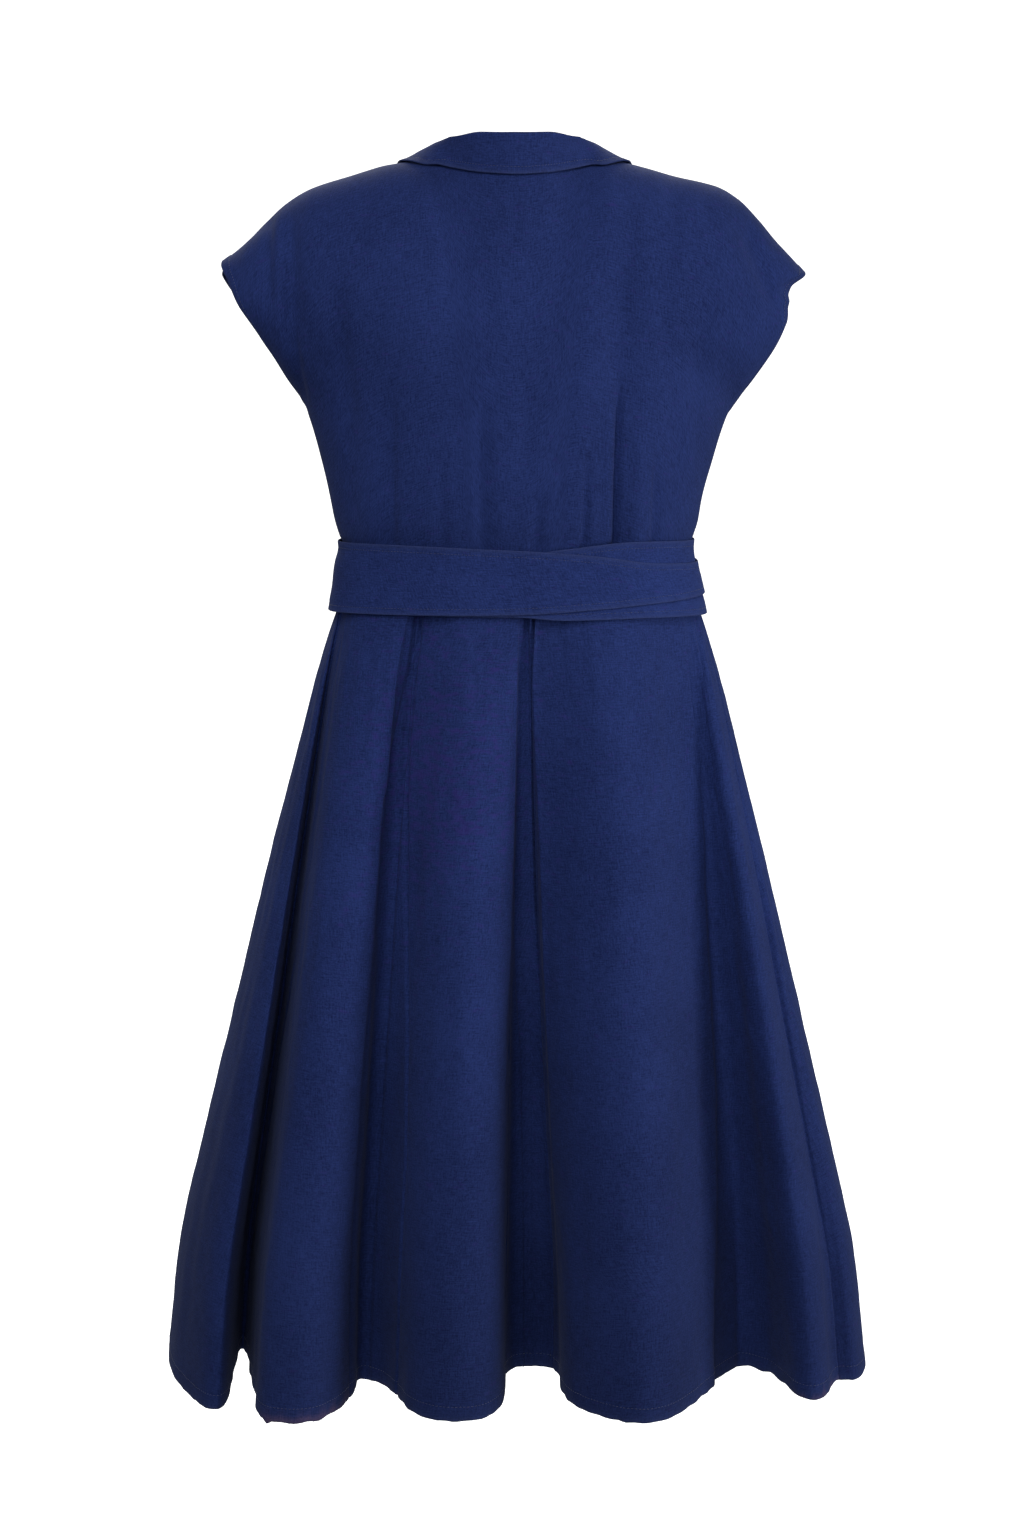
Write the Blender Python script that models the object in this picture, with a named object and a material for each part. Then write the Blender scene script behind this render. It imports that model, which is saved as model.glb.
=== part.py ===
"""Shirt dress with cap sleeves and a tied sash, filled out as if worn.

Metres, +Z up. The front faces -Y and the wearer's left is +X. The origin is
midway between the two points where the shoulder seams reach the neck.
Every piece of cloth is a closed wall lofted between two sets of points: the
outer face, and the same points moved in along the surface's own normals.
"""

import math
from collections import namedtuple

import bmesh
import bpy
import numpy as np
from mathutils import Matrix, Vector

# ---------------------------------------------------------------- sizes
CLOTH = 0.0012            # wall of one layer of cloth
COLLAR_CLOTH = 0.0016     # the collar is cloth doubled
SASH_CLOTH = 0.0014       # so is each turn of the sash
SEAM_GAP = 0.0003         # between pieces that are sewn edge to edge
SHARP_DEG = 40            # edges sharper than this aren't shaded smooth

WAIST_Z = -0.372          # seam between bodice and skirt, under the sash
HEM_Z = -1.075
WAIST_BACK_Y = 0.087
WAIST_FRONT_Y = -0.109

SLEEVE_TIP_X = 0.254
NECK_X = 0.068            # where the shoulder seam meets the neck
NECK_SHARE = NECK_X / SLEEVE_TIP_X
NECK_DROPS = {"back": 0.010, "front": 0.045}   # base of the neck below the neck points
NECK_DEPTHS = {"back": 0.062, "front": -0.050}  # and how far back or forward it lies
V_NECK_Z = -0.140         # point of the V, cut out of the front below that base
SIDE_FULLNESS = 2.3       # 2 is an ellipse, more is squarer
SHOULDER_SHARPNESS = 6.0  # how late a column of cloth turns over the shoulder
ROUND_TURN = 0.5          # power with which it turns over at the shoulder seam
STRAIGHT_TURN = 1.0       # and at the base of the neck
TURN_BLEND = (0.55, 1.25)  # shares of the neck's half width between the two
NORMAL_STEP = 0.004       # step in across and up for the bodice's normals
EDGE_STEP = 0.03          # how far inside the neck's and the sleeve's edge they stop

LAP = 0.014               # each front reaches this far past the centre front
LAP_BLEND = 0.030         # the under front comes back out over this width
LAP_GAP = 0.0020          # air between the two laps

# Half widths of the bodice at its side seams and sleeve hems.
SideRow = namedtuple("SideRow", "height left right")
SIDE_ROWS = [
    SideRow(-0.372, 0.1480, 0.1525),
    SideRow(-0.344, 0.1492, 0.1538),
    SideRow(-0.336, 0.1535, 0.1553),
    SideRow(-0.321, 0.1578, 0.1600),
    SideRow(-0.303, 0.1612, 0.1632),
    SideRow(-0.268, 0.1690, 0.1725),
    SideRow(-0.233, 0.1782, 0.1835),
    SideRow(-0.216, 0.1858, 0.1913),
    SideRow(-0.199, 0.1953, 0.2040),
    SideRow(-0.164, 0.2160, 0.2256),
    SideRow(-0.130, 0.2390, 0.2395),
    SideRow(-0.112, 0.2480, 0.2500),
    SideRow(-0.097, 0.2540, 0.2540),
]

# Height of the shoulder seam at each distance from the centre.
ShoulderRow = namedtuple("ShoulderRow", "out left right")
SHOULDER_ROWS = [
    ShoulderRow(0.068, -0.0062, -0.0062),
    ShoulderRow(0.085, -0.0105, -0.0107),
    ShoulderRow(0.100, -0.0132, -0.0138),
    ShoulderRow(0.112, -0.0152, -0.0168),
    ShoulderRow(0.140, -0.0235, -0.0246),
    ShoulderRow(0.175, -0.0345, -0.0328),
    ShoulderRow(0.194, -0.0450, -0.0434),
    ShoulderRow(0.213, -0.0613, -0.0622),
    ShoulderRow(0.228, -0.0765, -0.0796),
    ShoulderRow(0.242, -0.0885, -0.0940),
    ShoulderRow(0.254, -0.0970, -0.1068),
]

# Depth of the bodice at the centre back and centre front at each height.
DepthRow = namedtuple("DepthRow", "height back front")
DEPTH_ROWS = [
    DepthRow(-0.372, WAIST_BACK_Y, WAIST_FRONT_Y),
    DepthRow(-0.338, 0.0880, -0.1100),
    DepthRow(-0.320, 0.0940, -0.1145),
    DepthRow(-0.295, 0.0985, -0.1225),
    DepthRow(-0.262, 0.1022, -0.1315),
    DepthRow(-0.232, 0.1045, -0.1358),
    DepthRow(-0.195, 0.1076, -0.1370),
    DepthRow(-0.155, 0.1096, -0.1328),
    DepthRow(-0.110, 0.1098, -0.1240),
    DepthRow(-0.060, 0.1070, -0.1150),
    DepthRow(0.000, 0.1020, -0.1050),
]

# Depth of the sleeve hem by the share of the way up to the sleeve's tip; the
# side seam ends where it begins.
SleeveRow = namedtuple("SleeveRow", "share back front")
SLEEVE_ROWS = [
    SleeveRow(0.00, 0.000, 0.000),
    SleeveRow(0.56, 0.000, 0.000),
    SleeveRow(0.70, 0.034, -0.038),
    SleeveRow(0.85, 0.056, -0.062),
    SleeveRow(1.00, 0.068, -0.074),
]

BODICE_RISES = [0.0, 0.09, 0.14, 0.20, 0.28, 0.36, 0.45, 0.54,
                0.63, 0.72, 0.80, 0.87, 0.925, 0.965, 0.99, 1.0]

# Soft troughs in the bodice: a line from top to low, its depth and half width.
Trough = namedtuple("Trough", "name sheet top_x top_z low_x low_z depth width")
TROUGHS = [
    Trough("sleeve_left", "back", 0.193, -0.060, 0.191, -0.150, 0.0060, 0.013),
    Trough("sleeve_right", "back", -0.201, -0.078, -0.216, -0.132, 0.0055, 0.013),
    Trough("waist_right", "back", -0.093, -0.170, -0.088, -0.372, 0.0045, 0.010),
    Trough("waist_right_small", "back", -0.058, -0.300, -0.056, -0.372, 0.0022, 0.008),
    Trough("waist_left", "back", 0.112, -0.225, 0.104, -0.372, 0.0026, 0.010),
    Trough("waist_left_small", "back", 0.030, -0.275, 0.027, -0.372, 0.0020, 0.008),
    Trough("side_left", "back", 0.147, -0.150, 0.134, -0.300, 0.0025, 0.012),
    Trough("front_left", "front", 0.085, -0.270, 0.078, -0.372, 0.0035, 0.010),
    Trough("front_right", "front", -0.082, -0.262, -0.076, -0.372, 0.0035, 0.010),
]

# The skirt's ridges, valleys and steep edges, counted from the centre back round
# by the wearer's left. Each starts at an angle of the waist and ends at a place
# on the hem, where the hemline heads along `turn` and keeps to that heading for
# `before` and `after` metres: long on a broad ridge, short in a tight valley.
# Its way out from waist to hem starts late where `late` is more than 1.
FoldRow = namedtuple("FoldRow", "name waist_deg x y turn before after late")
FOLD_ROWS = [
    FoldRow("centre_pleat", -3.5, -0.017, 0.0625, 0.0, 0.060, 0.069, 1.0),
    FoldRow("pleat_left_edge", -0.5, 0.0085, 0.112, 90.0, 0.135, 0.135, 1.0),
    FoldRow("left_ridge", 14.0, 0.050, 0.1965, 0.0, 0.100, 0.135, 1.0),
    FoldRow("left_valley", 33.5, 0.128, 0.097, -30.0, 0.075, 0.036, 1.0),
    FoldRow("left_valley_edge", 36.0, 0.142, 0.125, 85.0, 0.060, 0.105, 0.8),
    FoldRow("left_outer_ridge", 52.0, 0.187, 0.199, 0.0, 0.080, 0.120, 1.0),
    FoldRow("left_outer_edge", 70.0, 0.228, 0.130, -80.0, 0.120, 0.110, 1.0),
    FoldRow("left_seam_valley", 77.0, 0.2485, 0.0195, -10.0, 0.018, 0.015, 1.0),
    FoldRow("left_side_edge", 82.0, 0.2505, 0.090, 92.0, 0.090, 0.130, 1.0),
    FoldRow("left_side_ridge", 91.0, 0.258, 0.1675, -5.0, 0.018, 0.080, 1.0),
    FoldRow("left_side", 104.0, 0.317, 0.010, -87.0, 0.150, 0.080, 1.0),
    FoldRow("front_left_side_valley", 119.0, 0.255, -0.070, -140.0, 0.060, 0.050, 1.0),
    FoldRow("front_left_side_ridge", 133.0, 0.228, -0.170, -165.0, 0.100, 0.110, 1.0),
    FoldRow("front_left_valley", 147.0, 0.160, -0.105, 180.0, 0.045, 0.045, 1.0),
    FoldRow("front_left_ridge", 161.0, 0.098, -0.200, 180.0, 0.110, 0.100, 1.0),
    FoldRow("centre_front", 180.0, 0.000, -0.192, 180.0, 0.090, 0.090, 1.0),
    FoldRow("front_right_ridge", 199.0, -0.104, -0.202, 180.0, 0.100, 0.115, 1.0),
    FoldRow("front_right_valley", 213.0, -0.166, -0.100, 180.0, 0.045, 0.045, 1.0),
    FoldRow("front_right_side_ridge", 227.0, -0.232, -0.166, 163.0, 0.110, 0.105, 1.0),
    FoldRow("front_right_side_valley", 241.0, -0.262, -0.075, 125.0, 0.050, 0.050, 1.0),
    FoldRow("right_side", 256.0, -0.316, -0.005, 88.0, 0.080, 0.070, 1.0),
    FoldRow("right_side_ridge", 267.0, -0.302, 0.096, 30.0, 0.060, 0.018, 1.0),
    FoldRow("right_seam_valley", 273.0, -0.287, 0.095, 8.0, 0.014, 0.012, 1.0),
    FoldRow("right_outer_ridge", 281.0, -0.259, 0.142, 0.0, 0.048, 0.055, 1.0),
    FoldRow("right_valley", 294.0, -0.204, 0.0605, 0.0, 0.072, 0.070, 1.0),
    FoldRow("right_ridge", 330.0, -0.108, 0.1985, 0.0, 0.150, 0.120, 1.0),
    FoldRow("pleat_right_edge", 353.5, -0.0405, 0.112, -90.0, 0.105, 0.126, 2.0),
]
FOLDS = len(FOLD_ROWS)
FOLD_NUMBER = {row.name: number for number, row in enumerate(FOLD_ROWS)}

# How far the folds have come from waist to hem at each share of the drop.
FlareRow = namedtuple("FlareRow", "drop flare")
FLARE_ROWS = [
    FlareRow(0.000, 0.000),
    FlareRow(0.041, 0.074),
    FlareRow(0.115, 0.178),
    FlareRow(0.230, 0.306),
    FlareRow(0.385, 0.470),
    FlareRow(0.542, 0.625),
    FlareRow(0.701, 0.785),
    FlareRow(0.862, 0.935),
    FlareRow(1.000, 1.000),
]
SKIRT_DROPS = [0.0, 0.03, 0.07, 0.12, 0.19, 0.27, 0.36, 0.46, 0.57, 0.68, 0.79, 0.90, 1.0]
COLUMNS_PER_FOLD = 5
PLACE_STEP = 0.01         # step in place and drop for the skirt's normals
ANGLE_STEP = 0.02         # step in radians for an oval's direction

# The collar from the centre back (0) to the V (1): where it is sewn on and
# where its outer edge lies, across (share of the sleeve tip) and along (1 is
# the shoulder seam, less is down the back, more down the front), and its roll.
CollarRow = namedtuple("CollarRow", "round seam_share edge_share edge_along roll")
COLLAR_ROWS = [
    CollarRow(0.00, 0.000, 0.000, 0.836, 0.0250),
    CollarRow(0.14, 0.105, 0.150, 0.838, 0.0240),
    CollarRow(0.27, 0.200, 0.285, 0.832, 0.0166),
    CollarRow(0.34, 0.240, 0.345, 0.902, 0.0098),
    CollarRow(0.40, NECK_SHARE, 0.388, 1.000, 0.0052),
    CollarRow(0.55, 0.210, 0.415, 1.180, 0.0036),
    CollarRow(0.70, 0.148, 0.435, 1.310, 0.0030),
    CollarRow(0.85, 0.085, 0.455, 1.400, 0.0024),
    CollarRow(1.00, 0.024, 0.478, 1.490, 0.0020),
]
SHOULDER_ROUND = 0.40
COLLAR_STATIONS = 21      # on each side of the centre back
COLLAR_ACROSS = [0.0, 0.10, 0.17, 0.23, 0.34, 0.50, 0.68, 0.85, 1.0]
COLLAR_ROLL_AT = 0.17     # share of the collar's width that stands up
COLLAR_CLEAR = 0.0038     # collar's inner face above the bodice
COLLAR_SEAM_CLEAR = 0.0016
COLLAR_LEAN_AT = 0.27     # share of its width over which it comes to that clearance
COLLAR_FALL_POWER = 1.5   # how fast the fall sinks from the roll to the bodice
COLLAR_STRAIGHT = (0.45, 0.75)  # between these stations its front ends become straight

# The sash: half sizes inside it at each height, and the two turns' edges.
OvalRow = namedtuple("OvalRow", "height left right back front")
SASH_OVAL_ROWS = [
    OvalRow(-0.410, 0.1645, 0.1700, 0.0990, 0.1205),
    OvalRow(-0.398, 0.1612, 0.1675, 0.0965, 0.1185),
    OvalRow(-0.372, 0.1572, 0.1612, 0.0925, 0.1150),
    OvalRow(-0.356, 0.1548, 0.1575, 0.0908, 0.1140),
    OvalRow(-0.345, 0.1520, 0.1560, 0.0900, 0.1135),
    OvalRow(-0.330, 0.1530, 0.1570, 0.0920, 0.1150),
]
TurnRow = namedtuple("TurnRow", "deg top low")
INNER_TURN_ROWS = [
    TurnRow(-180.0, -0.3380, -0.3980),
    TurnRow(-90.0, -0.3370, -0.4010),
    TurnRow(-40.0, -0.3345, -0.3985),
    TurnRow(-15.0, -0.3400, -0.3990),
    TurnRow(0.0, -0.3450, -0.3960),
    TurnRow(60.0, -0.3440, -0.3950),
    TurnRow(180.0, -0.3380, -0.3980),
]
OUTER_TURN_ROWS = [
    TurnRow(-180.0, -0.3420, -0.3940),
    TurnRow(-90.0, -0.3560, -0.3830),
    TurnRow(-50.0, -0.3535, -0.3860),
    TurnRow(-25.0, -0.3455, -0.3900),
    TurnRow(0.0, -0.3405, -0.3940),
    TurnRow(45.0, -0.3370, -0.3955),
    TurnRow(90.0, -0.3385, -0.3980),
    TurnRow(180.0, -0.3420, -0.3940),
]
SASH_COLUMNS = 48
SASH_ACROSS = 6
TURN_GAP = 0.0008         # air between the two turns

KNOT_DEG = 162.0          # where the sash is tied, left of the centre front
KNOT_SIZE = (0.036, 0.017, 0.042)
KNOT_Z = -0.368
KNOT_CLEAR = 0.0024       # the sash flares out below the knot
KNOT_CUTS = 3             # rows of faces less one along each side of its block
KNOT_BALL = 0.62          # radius of the ball that the block is pulled towards
KNOT_ROUNDING = 0.6       # and how far
TAIL_TOP_Z = -0.3965      # the tails leave the knot here, over the sash's lower edge
TAIL_LIFT = 0.0062        # how much further out they start than they hang,
TAIL_LIFTED = 0.007       # over this much of their length,
TAIL_DOWN = 0.028         # and where they have come down
TAIL_SHARES = (-0.5, -0.25, 0.0, 0.25, 0.5)  # its points across, as shares of its width
TAIL_GATHERED = 0.55      # share of its width at its top,
TAIL_SPREAD_BY = 0.5      # and the share of its length by which it is full
TAIL_ALONG = [0.0, 0.04, 0.08, 0.13, 0.20, 0.32, 0.48, 0.64, 0.82, 1.0]
TailRow = namedtuple("TailRow", "name shift lean width length clear")
TAIL_ROWS = [
    TailRow("sash_tail_short", 0.012, 0.10, 0.042, 0.150, 0.0062),
    TailRow("sash_tail_long", -0.004, -0.03, 0.044, 0.205, 0.0030),
]

BUTTON_RADIUS = 0.0075
BUTTON_THICK = 0.0030
BUTTON_EDGE = 0.0008      # bevel round both faces
BUTTON_CLEAR = 0.0009     # back of a button above the cloth
BUTTON_SIDES = 20
BODICE_BUTTON_HEIGHTS = [-0.158, -0.213, -0.268, -0.320]
SKIRT_BUTTON_HEIGHTS = [-0.455, -0.560, -0.665, -0.770, -0.875]

NAVY = (0.0145, 0.0245, 0.088, 1.0)
BUTTON_NAVY = (0.010, 0.014, 0.045, 1.0)
CLOTH_ROUGHNESS = 0.85
BUTTON_ROUGHNESS = 0.35


# ---------------------------------------------------------------- curves
def smooth_through(stations, values, at):
    """Values on a smooth curve through the stations that never overshoots."""
    stations = np.asarray(stations, float)
    values = np.asarray(values, float)
    steps = np.diff(stations)
    slopes = np.diff(values) / steps
    tangents = np.empty_like(values)
    tangents[0] = slopes[0]
    tangents[-1] = slopes[-1]
    before, after = slopes[:-1], slopes[1:]
    agree = before * after > 0
    total = np.where(agree, before + after, 1.0)
    tangents[1:-1] = np.where(agree, 2 * before * after / total, 0.0)
    at = np.clip(np.asarray(at, float), stations[0], stations[-1])
    low = np.clip(np.searchsorted(stations, at, side="right") - 1, 0, len(steps) - 1)
    share = (at - stations[low]) / steps[low]
    return hermite(
        values[low], values[low + 1],
        tangents[low] * steps[low], tangents[low + 1] * steps[low], share,
    )


def hermite(start, end, leave, arrive, share):
    """Cubic from start to end with the given speeds at its two ends."""
    square = share * share
    cube = square * share
    return (
        start * (2 * cube - 3 * square + 1)
        + leave * (cube - 2 * square + share)
        + end * (3 * square - 2 * cube)
        + arrive * (cube - square)
    )


def column(rows, name):
    return [getattr(row, name) for row in rows]


def ease(low, high, value):
    """0 below low, 1 above high and smooth between."""
    share = np.clip((value - low) / (high - low), 0.0, 1.0)
    return share * share * (3 - 2 * share)


def unit(vectors):
    return vectors / np.linalg.norm(vectors, axis=-1, keepdims=True)


def fullness(share):
    """Depth of the oval at a share of its half width: 1 at the middle, 0 at the side."""
    return np.abs(1 - np.abs(share) ** SIDE_FULLNESS) ** (1 / SIDE_FULLNESS)


def oval_point(angle, left, right, back, front):
    """Plan point of a squarish oval, its angle counted from the centre back to the left."""
    share = np.sin(angle)
    turned = np.cos(angle)
    x = np.where(share >= 0, left, right) * share
    y = np.where(turned >= 0, back, -front) * fullness(share)
    return np.stack([x, y], axis=-1)


# ---------------------------------------------------------------- bodice
def by_side(share, left, right):
    """Left value where share is +, right value where it is -."""
    return np.where(share >= 0, left, right)


def shoulder_height(share):
    """Height of the shoulder seam; inside the neck it stays at the neck point."""
    out = np.abs(share) * SLEEVE_TIP_X
    stations = column(SHOULDER_ROWS, "out")
    left = smooth_through(stations, column(SHOULDER_ROWS, "left"), out)
    right = smooth_through(stations, column(SHOULDER_ROWS, "right"), out)
    return by_side(share, left, right)


def side_width(share, height):
    stations = column(SIDE_ROWS, "height")
    left = smooth_through(stations, column(SIDE_ROWS, "left"), height)
    right = smooth_through(stations, column(SIDE_ROWS, "right"), height)
    return by_side(share, left, right)


def trough_depth(sheet, x, z):
    """Sum of the sheet's soft troughs at each point, fading at their ends."""
    total = np.zeros_like(x)
    for trough in TROUGHS:
        if trough.sheet != sheet:
            continue
        along = (trough.top_z - z) / (trough.top_z - trough.low_z)
        line_x = trough.top_x + (trough.low_x - trough.top_x) * along
        fade = ease(-0.25, 0.35, along)
        if trough.low_z > WAIST_Z:
            fade = fade * (1 - ease(0.65, 1.25, along))
        total += trough.depth * fade * np.exp(-(((x - line_x) / trough.width) ** 2))
    return total


def top_height(sheet, share):
    """Height of the shoulder seam and, between the neck points, of the neck's base."""
    neck = np.clip(np.abs(share) / NECK_SHARE, 0.0, 1.0)
    return shoulder_height(share) - NECK_DROPS[sheet] * (1 - neck ** 2)


def bodice_base(sheet, across, up):
    """Points of a bodice sheet before its troughs.

    across is -1 to 1 between the sides and up is 0 to 1 from the waist to the
    shoulder seam. Past 1, both go on round the side and over the shoulder.
    """
    share = np.sin(across * math.pi / 2)
    rise = 1 - (1 - up) ** 2
    roundness = np.sign(np.cos(across * math.pi / 2)) * fullness(share)
    neck = np.clip(np.abs(share) / NECK_SHARE, 0.0, 1.0)
    top_y = NECK_DEPTHS[sheet] * (1 - neck ** 2)
    z = WAIST_Z + (top_height(sheet, share) - WAIST_Z) * rise
    depth = smooth_through(column(DEPTH_ROWS, "height"), column(DEPTH_ROWS, sheet), z)
    sleeve = smooth_through(column(SLEEVE_ROWS, "share"), column(SLEEVE_ROWS, sheet), rise)
    turn = ease(*TURN_BLEND, np.abs(share) / NECK_SHARE)
    power = STRAIGHT_TURN + (ROUND_TURN - STRAIGHT_TURN) * turn
    closing = np.sign(1 - up) * np.abs(1 - rise ** SHOULDER_SHARPNESS) ** power
    y = top_y * (1 - np.abs(closing)) + (sleeve + (depth - sleeve) * roundness) * closing
    x = side_width(share, side_height(share, rise)) * share
    return np.stack([x, y, z], axis=-1)


def side_height(share, rise):
    """Height of a row where it meets the side seam or the sleeve hem."""
    tip_z = by_side(share, SHOULDER_ROWS[-1].left, SHOULDER_ROWS[-1].right)
    return WAIST_Z + (tip_z - WAIST_Z) * rise


def up_at_height(sheet, across, height):
    """How far up a sheet's column a height lies."""
    top = top_height(sheet, np.sin(across * math.pi / 2))
    rise = np.clip((height - WAIST_Z) / (top - WAIST_Z), 0.0, 1.0)
    return 1 - np.sqrt(1 - rise)


def front_edge_height(across):
    """Top of the front: the V between the neck points, the shoulder seam outside them."""
    share = np.sin(across * math.pi / 2)
    neck = np.clip(np.abs(share) / NECK_SHARE, 0.0, 1.0)
    neck_point = SHOULDER_ROWS[0].left
    return np.where(neck < 1, V_NECK_Z + (neck_point - V_NECK_Z) * neck, shoulder_height(share))


def bodice(sheet, across, up):
    """Outer points and outward normals of a bodice sheet."""
    across, up = np.broadcast_arrays(np.asarray(across, float), np.asarray(up, float))
    step = NORMAL_STEP
    near = 1 - EDGE_STEP
    in_neck = np.abs(np.sin(across * math.pi / 2)) < NECK_SHARE
    at_up = np.where(in_neck, np.minimum(up, near), up)
    at_tip = (up > near) & (np.abs(across) > near)
    at_across = np.where(at_tip, np.sign(across) * near, across)
    along = (bodice_base(sheet, at_across + step, at_up)
             - bodice_base(sheet, at_across - step, at_up))
    upward = (bodice_base(sheet, at_across, at_up + step)
              - bodice_base(sheet, at_across, at_up - step))
    normals = np.cross(along, upward)
    if sheet == "back":
        normals = -normals
    normals = unit(normals)
    points = bodice_base(sheet, across, up)
    depth = trough_depth(sheet, points[..., 0], points[..., 2])
    return points - normals * depth[..., None], normals


# ---------------------------------------------------------------- skirt
def flare_at(drop):
    return smooth_through(column(FLARE_ROWS, "drop"), column(FLARE_ROWS, "flare"), drop)


def waist_oval(angle):
    return oval_point(angle, SIDE_ROWS[0].left, SIDE_ROWS[0].right, WAIST_BACK_Y, -WAIST_FRONT_Y)


def waist_point(degrees):
    """Point of the waist oval and its rate of change per radian."""
    angle = np.radians(degrees)
    step = ANGLE_STEP
    rate = (waist_oval(angle + step) - waist_oval(angle - step)) / (2 * step)
    return waist_oval(angle), rate


def skirt_base(place, drop):
    """Points of the skirt: place counts fold rows, drop is 0 to 1 down to the hem."""
    first = np.floor(place).astype(int)
    share = (place - first)[..., None]
    ends = []
    for number, towards in ((first % FOLDS, 1), ((first + 1) % FOLDS, -1)):
        late = np.array(column(FOLD_ROWS, "late"))[number]
        flare = (flare_at(drop) ** late)[..., None]
        degrees = np.array(column(FOLD_ROWS, "waist_deg"))
        gap = (degrees[(number + towards) % FOLDS] - degrees[number]) * towards % 360.0
        start, rate = waist_point(degrees[number])
        turn = np.radians(np.array(column(FOLD_ROWS, "turn"))[number])
        reach = np.array(column(FOLD_ROWS, "after" if towards > 0 else "before"))[number]
        heading = np.stack([np.cos(turn), np.sin(turn)], axis=-1)
        hem = np.stack([np.array(column(FOLD_ROWS, "x"))[number],
                        np.array(column(FOLD_ROWS, "y"))[number]], axis=-1)
        speed = (rate * np.radians(gap)[..., None] * (1 - flare)
                 + heading * reach[..., None] * flare)
        ends.append((start + (hem - start) * flare, speed))
    (start, leave), (end, arrive) = ends
    ring = hermite(start, end, leave, arrive, share)
    height = WAIST_Z + (HEM_Z - WAIST_Z) * drop
    return np.concatenate([ring, height[..., None]], axis=-1)


def skirt(place, drop):
    """Outer points and outward normals of the skirt."""
    place, drop = np.broadcast_arrays(np.asarray(place, float), np.asarray(drop, float))
    step = PLACE_STEP
    along = skirt_base(place + step, drop) - skirt_base(place - step, drop)
    inside = np.clip(drop, step, 1 - step)
    down = skirt_base(place, inside + step) - skirt_base(place, inside - step)
    return skirt_base(place, drop), unit(np.cross(along, down))


def place_shift(place, drop, distance):
    """The place that lies a distance further round at each drop."""
    step = PLACE_STEP
    ahead = skirt_base(place + step, drop) - skirt_base(place - step, drop)
    return place + distance * 2 * step / np.linalg.norm(ahead, axis=-1)


# ---------------------------------------------------------------- walls
def wall_object(name, outer, normals, thickness, material, closed=False):
    """A closed wall from a grid of outer points and the normals they move in along."""
    inner = outer - normals * thickness
    rows, columns = outer.shape[:2]
    mesh = bmesh.new()
    layers = [
        [[mesh.verts.new(Vector(layer[row, number])) for number in range(columns)]
         for row in range(rows)]
        for layer in (outer, inner)
    ]
    around = columns if closed else columns - 1
    for row in range(rows - 1):
        for number in range(around):
            after = (number + 1) % columns
            for layer in layers:
                mesh.faces.new((layer[row][number], layer[row][after],
                                layer[row + 1][after], layer[row + 1][number]))
    face, back = layers
    for row in (0, rows - 1):
        for number in range(around):
            after = (number + 1) % columns
            mesh.faces.new((face[row][number], face[row][after],
                            back[row][after], back[row][number]))
    if not closed:
        for number in (0, columns - 1):
            for row in range(rows - 1):
                mesh.faces.new((face[row][number], face[row + 1][number],
                                back[row + 1][number], back[row][number]))
    return finish(name, mesh, material)


def finish(name, mesh, material):
    """Turn a bmesh into a smooth shaded object in the dress's collection."""
    bmesh.ops.recalc_face_normals(mesh, faces=mesh.faces)
    if mesh.calc_volume(signed=True) < 0:
        bmesh.ops.reverse_faces(mesh, faces=mesh.faces)
    for edge in mesh.edges:
        edge.smooth = edge.calc_face_angle(0.0) < math.radians(SHARP_DEG)
    for face in mesh.faces:
        face.smooth = True
    data = bpy.data.meshes.new(name)
    mesh.to_mesh(data)
    mesh.free()
    data.materials.append(material)
    built = bpy.data.objects.new(name, data)
    bpy.data.collections["shirt_dress"].objects.link(built)
    return built


def cloth_material(name, colour, roughness):
    material = bpy.data.materials.new(name)
    material.use_nodes = True
    shader = material.node_tree.nodes["Principled BSDF"]
    shader.inputs["Base Color"].default_value = colour
    shader.inputs["Roughness"].default_value = roughness
    shader.inputs["Metallic"].default_value = 0.0
    material.diffuse_color = colour
    return material


# ---------------------------------------------------------------- pieces
def bodice_columns():
    """Places across half a sheet, closer together round the neck and at the side."""
    neck = math.asin(NECK_SHARE) * 2 / math.pi
    shoulder = neck + (1 - neck) * np.linspace(0.0, 1.0, 11)[1:]
    return np.concatenate([neck * np.array([0.0, 0.2, 0.45, 0.72, 1.0]), shoulder])


def bodice_rows():
    return 1 - np.sqrt(1 - np.array(BODICE_RISES))


def build_bodice_back():
    half = bodice_columns()
    across, up = np.meshgrid(np.concatenate([-half[:0:-1], half]), bodice_rows())
    points, normals = bodice("back", across, up)
    points[..., 1] += SEAM_GAP / 2
    points[0, :, 2] += SEAM_GAP / 2
    wall_object("bodice_back", points, normals, CLOTH,
                cloth_material("bodice_back_cloth", NAVY, CLOTH_ROUGHNESS))


def build_bodice_fronts():
    rises = np.array(BODICE_RISES)[:, None]
    for side, sign in (("left", 1), ("right", -1)):
        width = side_width(-sign, side_height(-sign, rises))
        lap = np.arcsin(LAP / width) * 2 / math.pi
        own = np.broadcast_to(bodice_columns(), (len(rises), len(bodice_columns())))
        across = sign * np.concatenate([-lap, -lap / 2, own], axis=1)
        edge = np.where(across * sign > 0, front_edge_height(across), V_NECK_Z)
        up = up_at_height("front", across, WAIST_Z + (edge - WAIST_Z) * rises)
        points, normals = bodice("front", across, up)
        if side == "left":
            tucked = 1 - ease(LAP, LAP + LAP_BLEND, points[..., 0])
            points = points - normals * (tucked * (CLOTH + LAP_GAP))[..., None]
        points[..., 1] -= SEAM_GAP / 2
        points[0, :, 2] += SEAM_GAP / 2
        wall_object(f"bodice_front_{side}", points, normals, CLOTH,
                    cloth_material(f"bodice_front_{side}_cloth", NAVY, CLOTH_ROUGHNESS))


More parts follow.
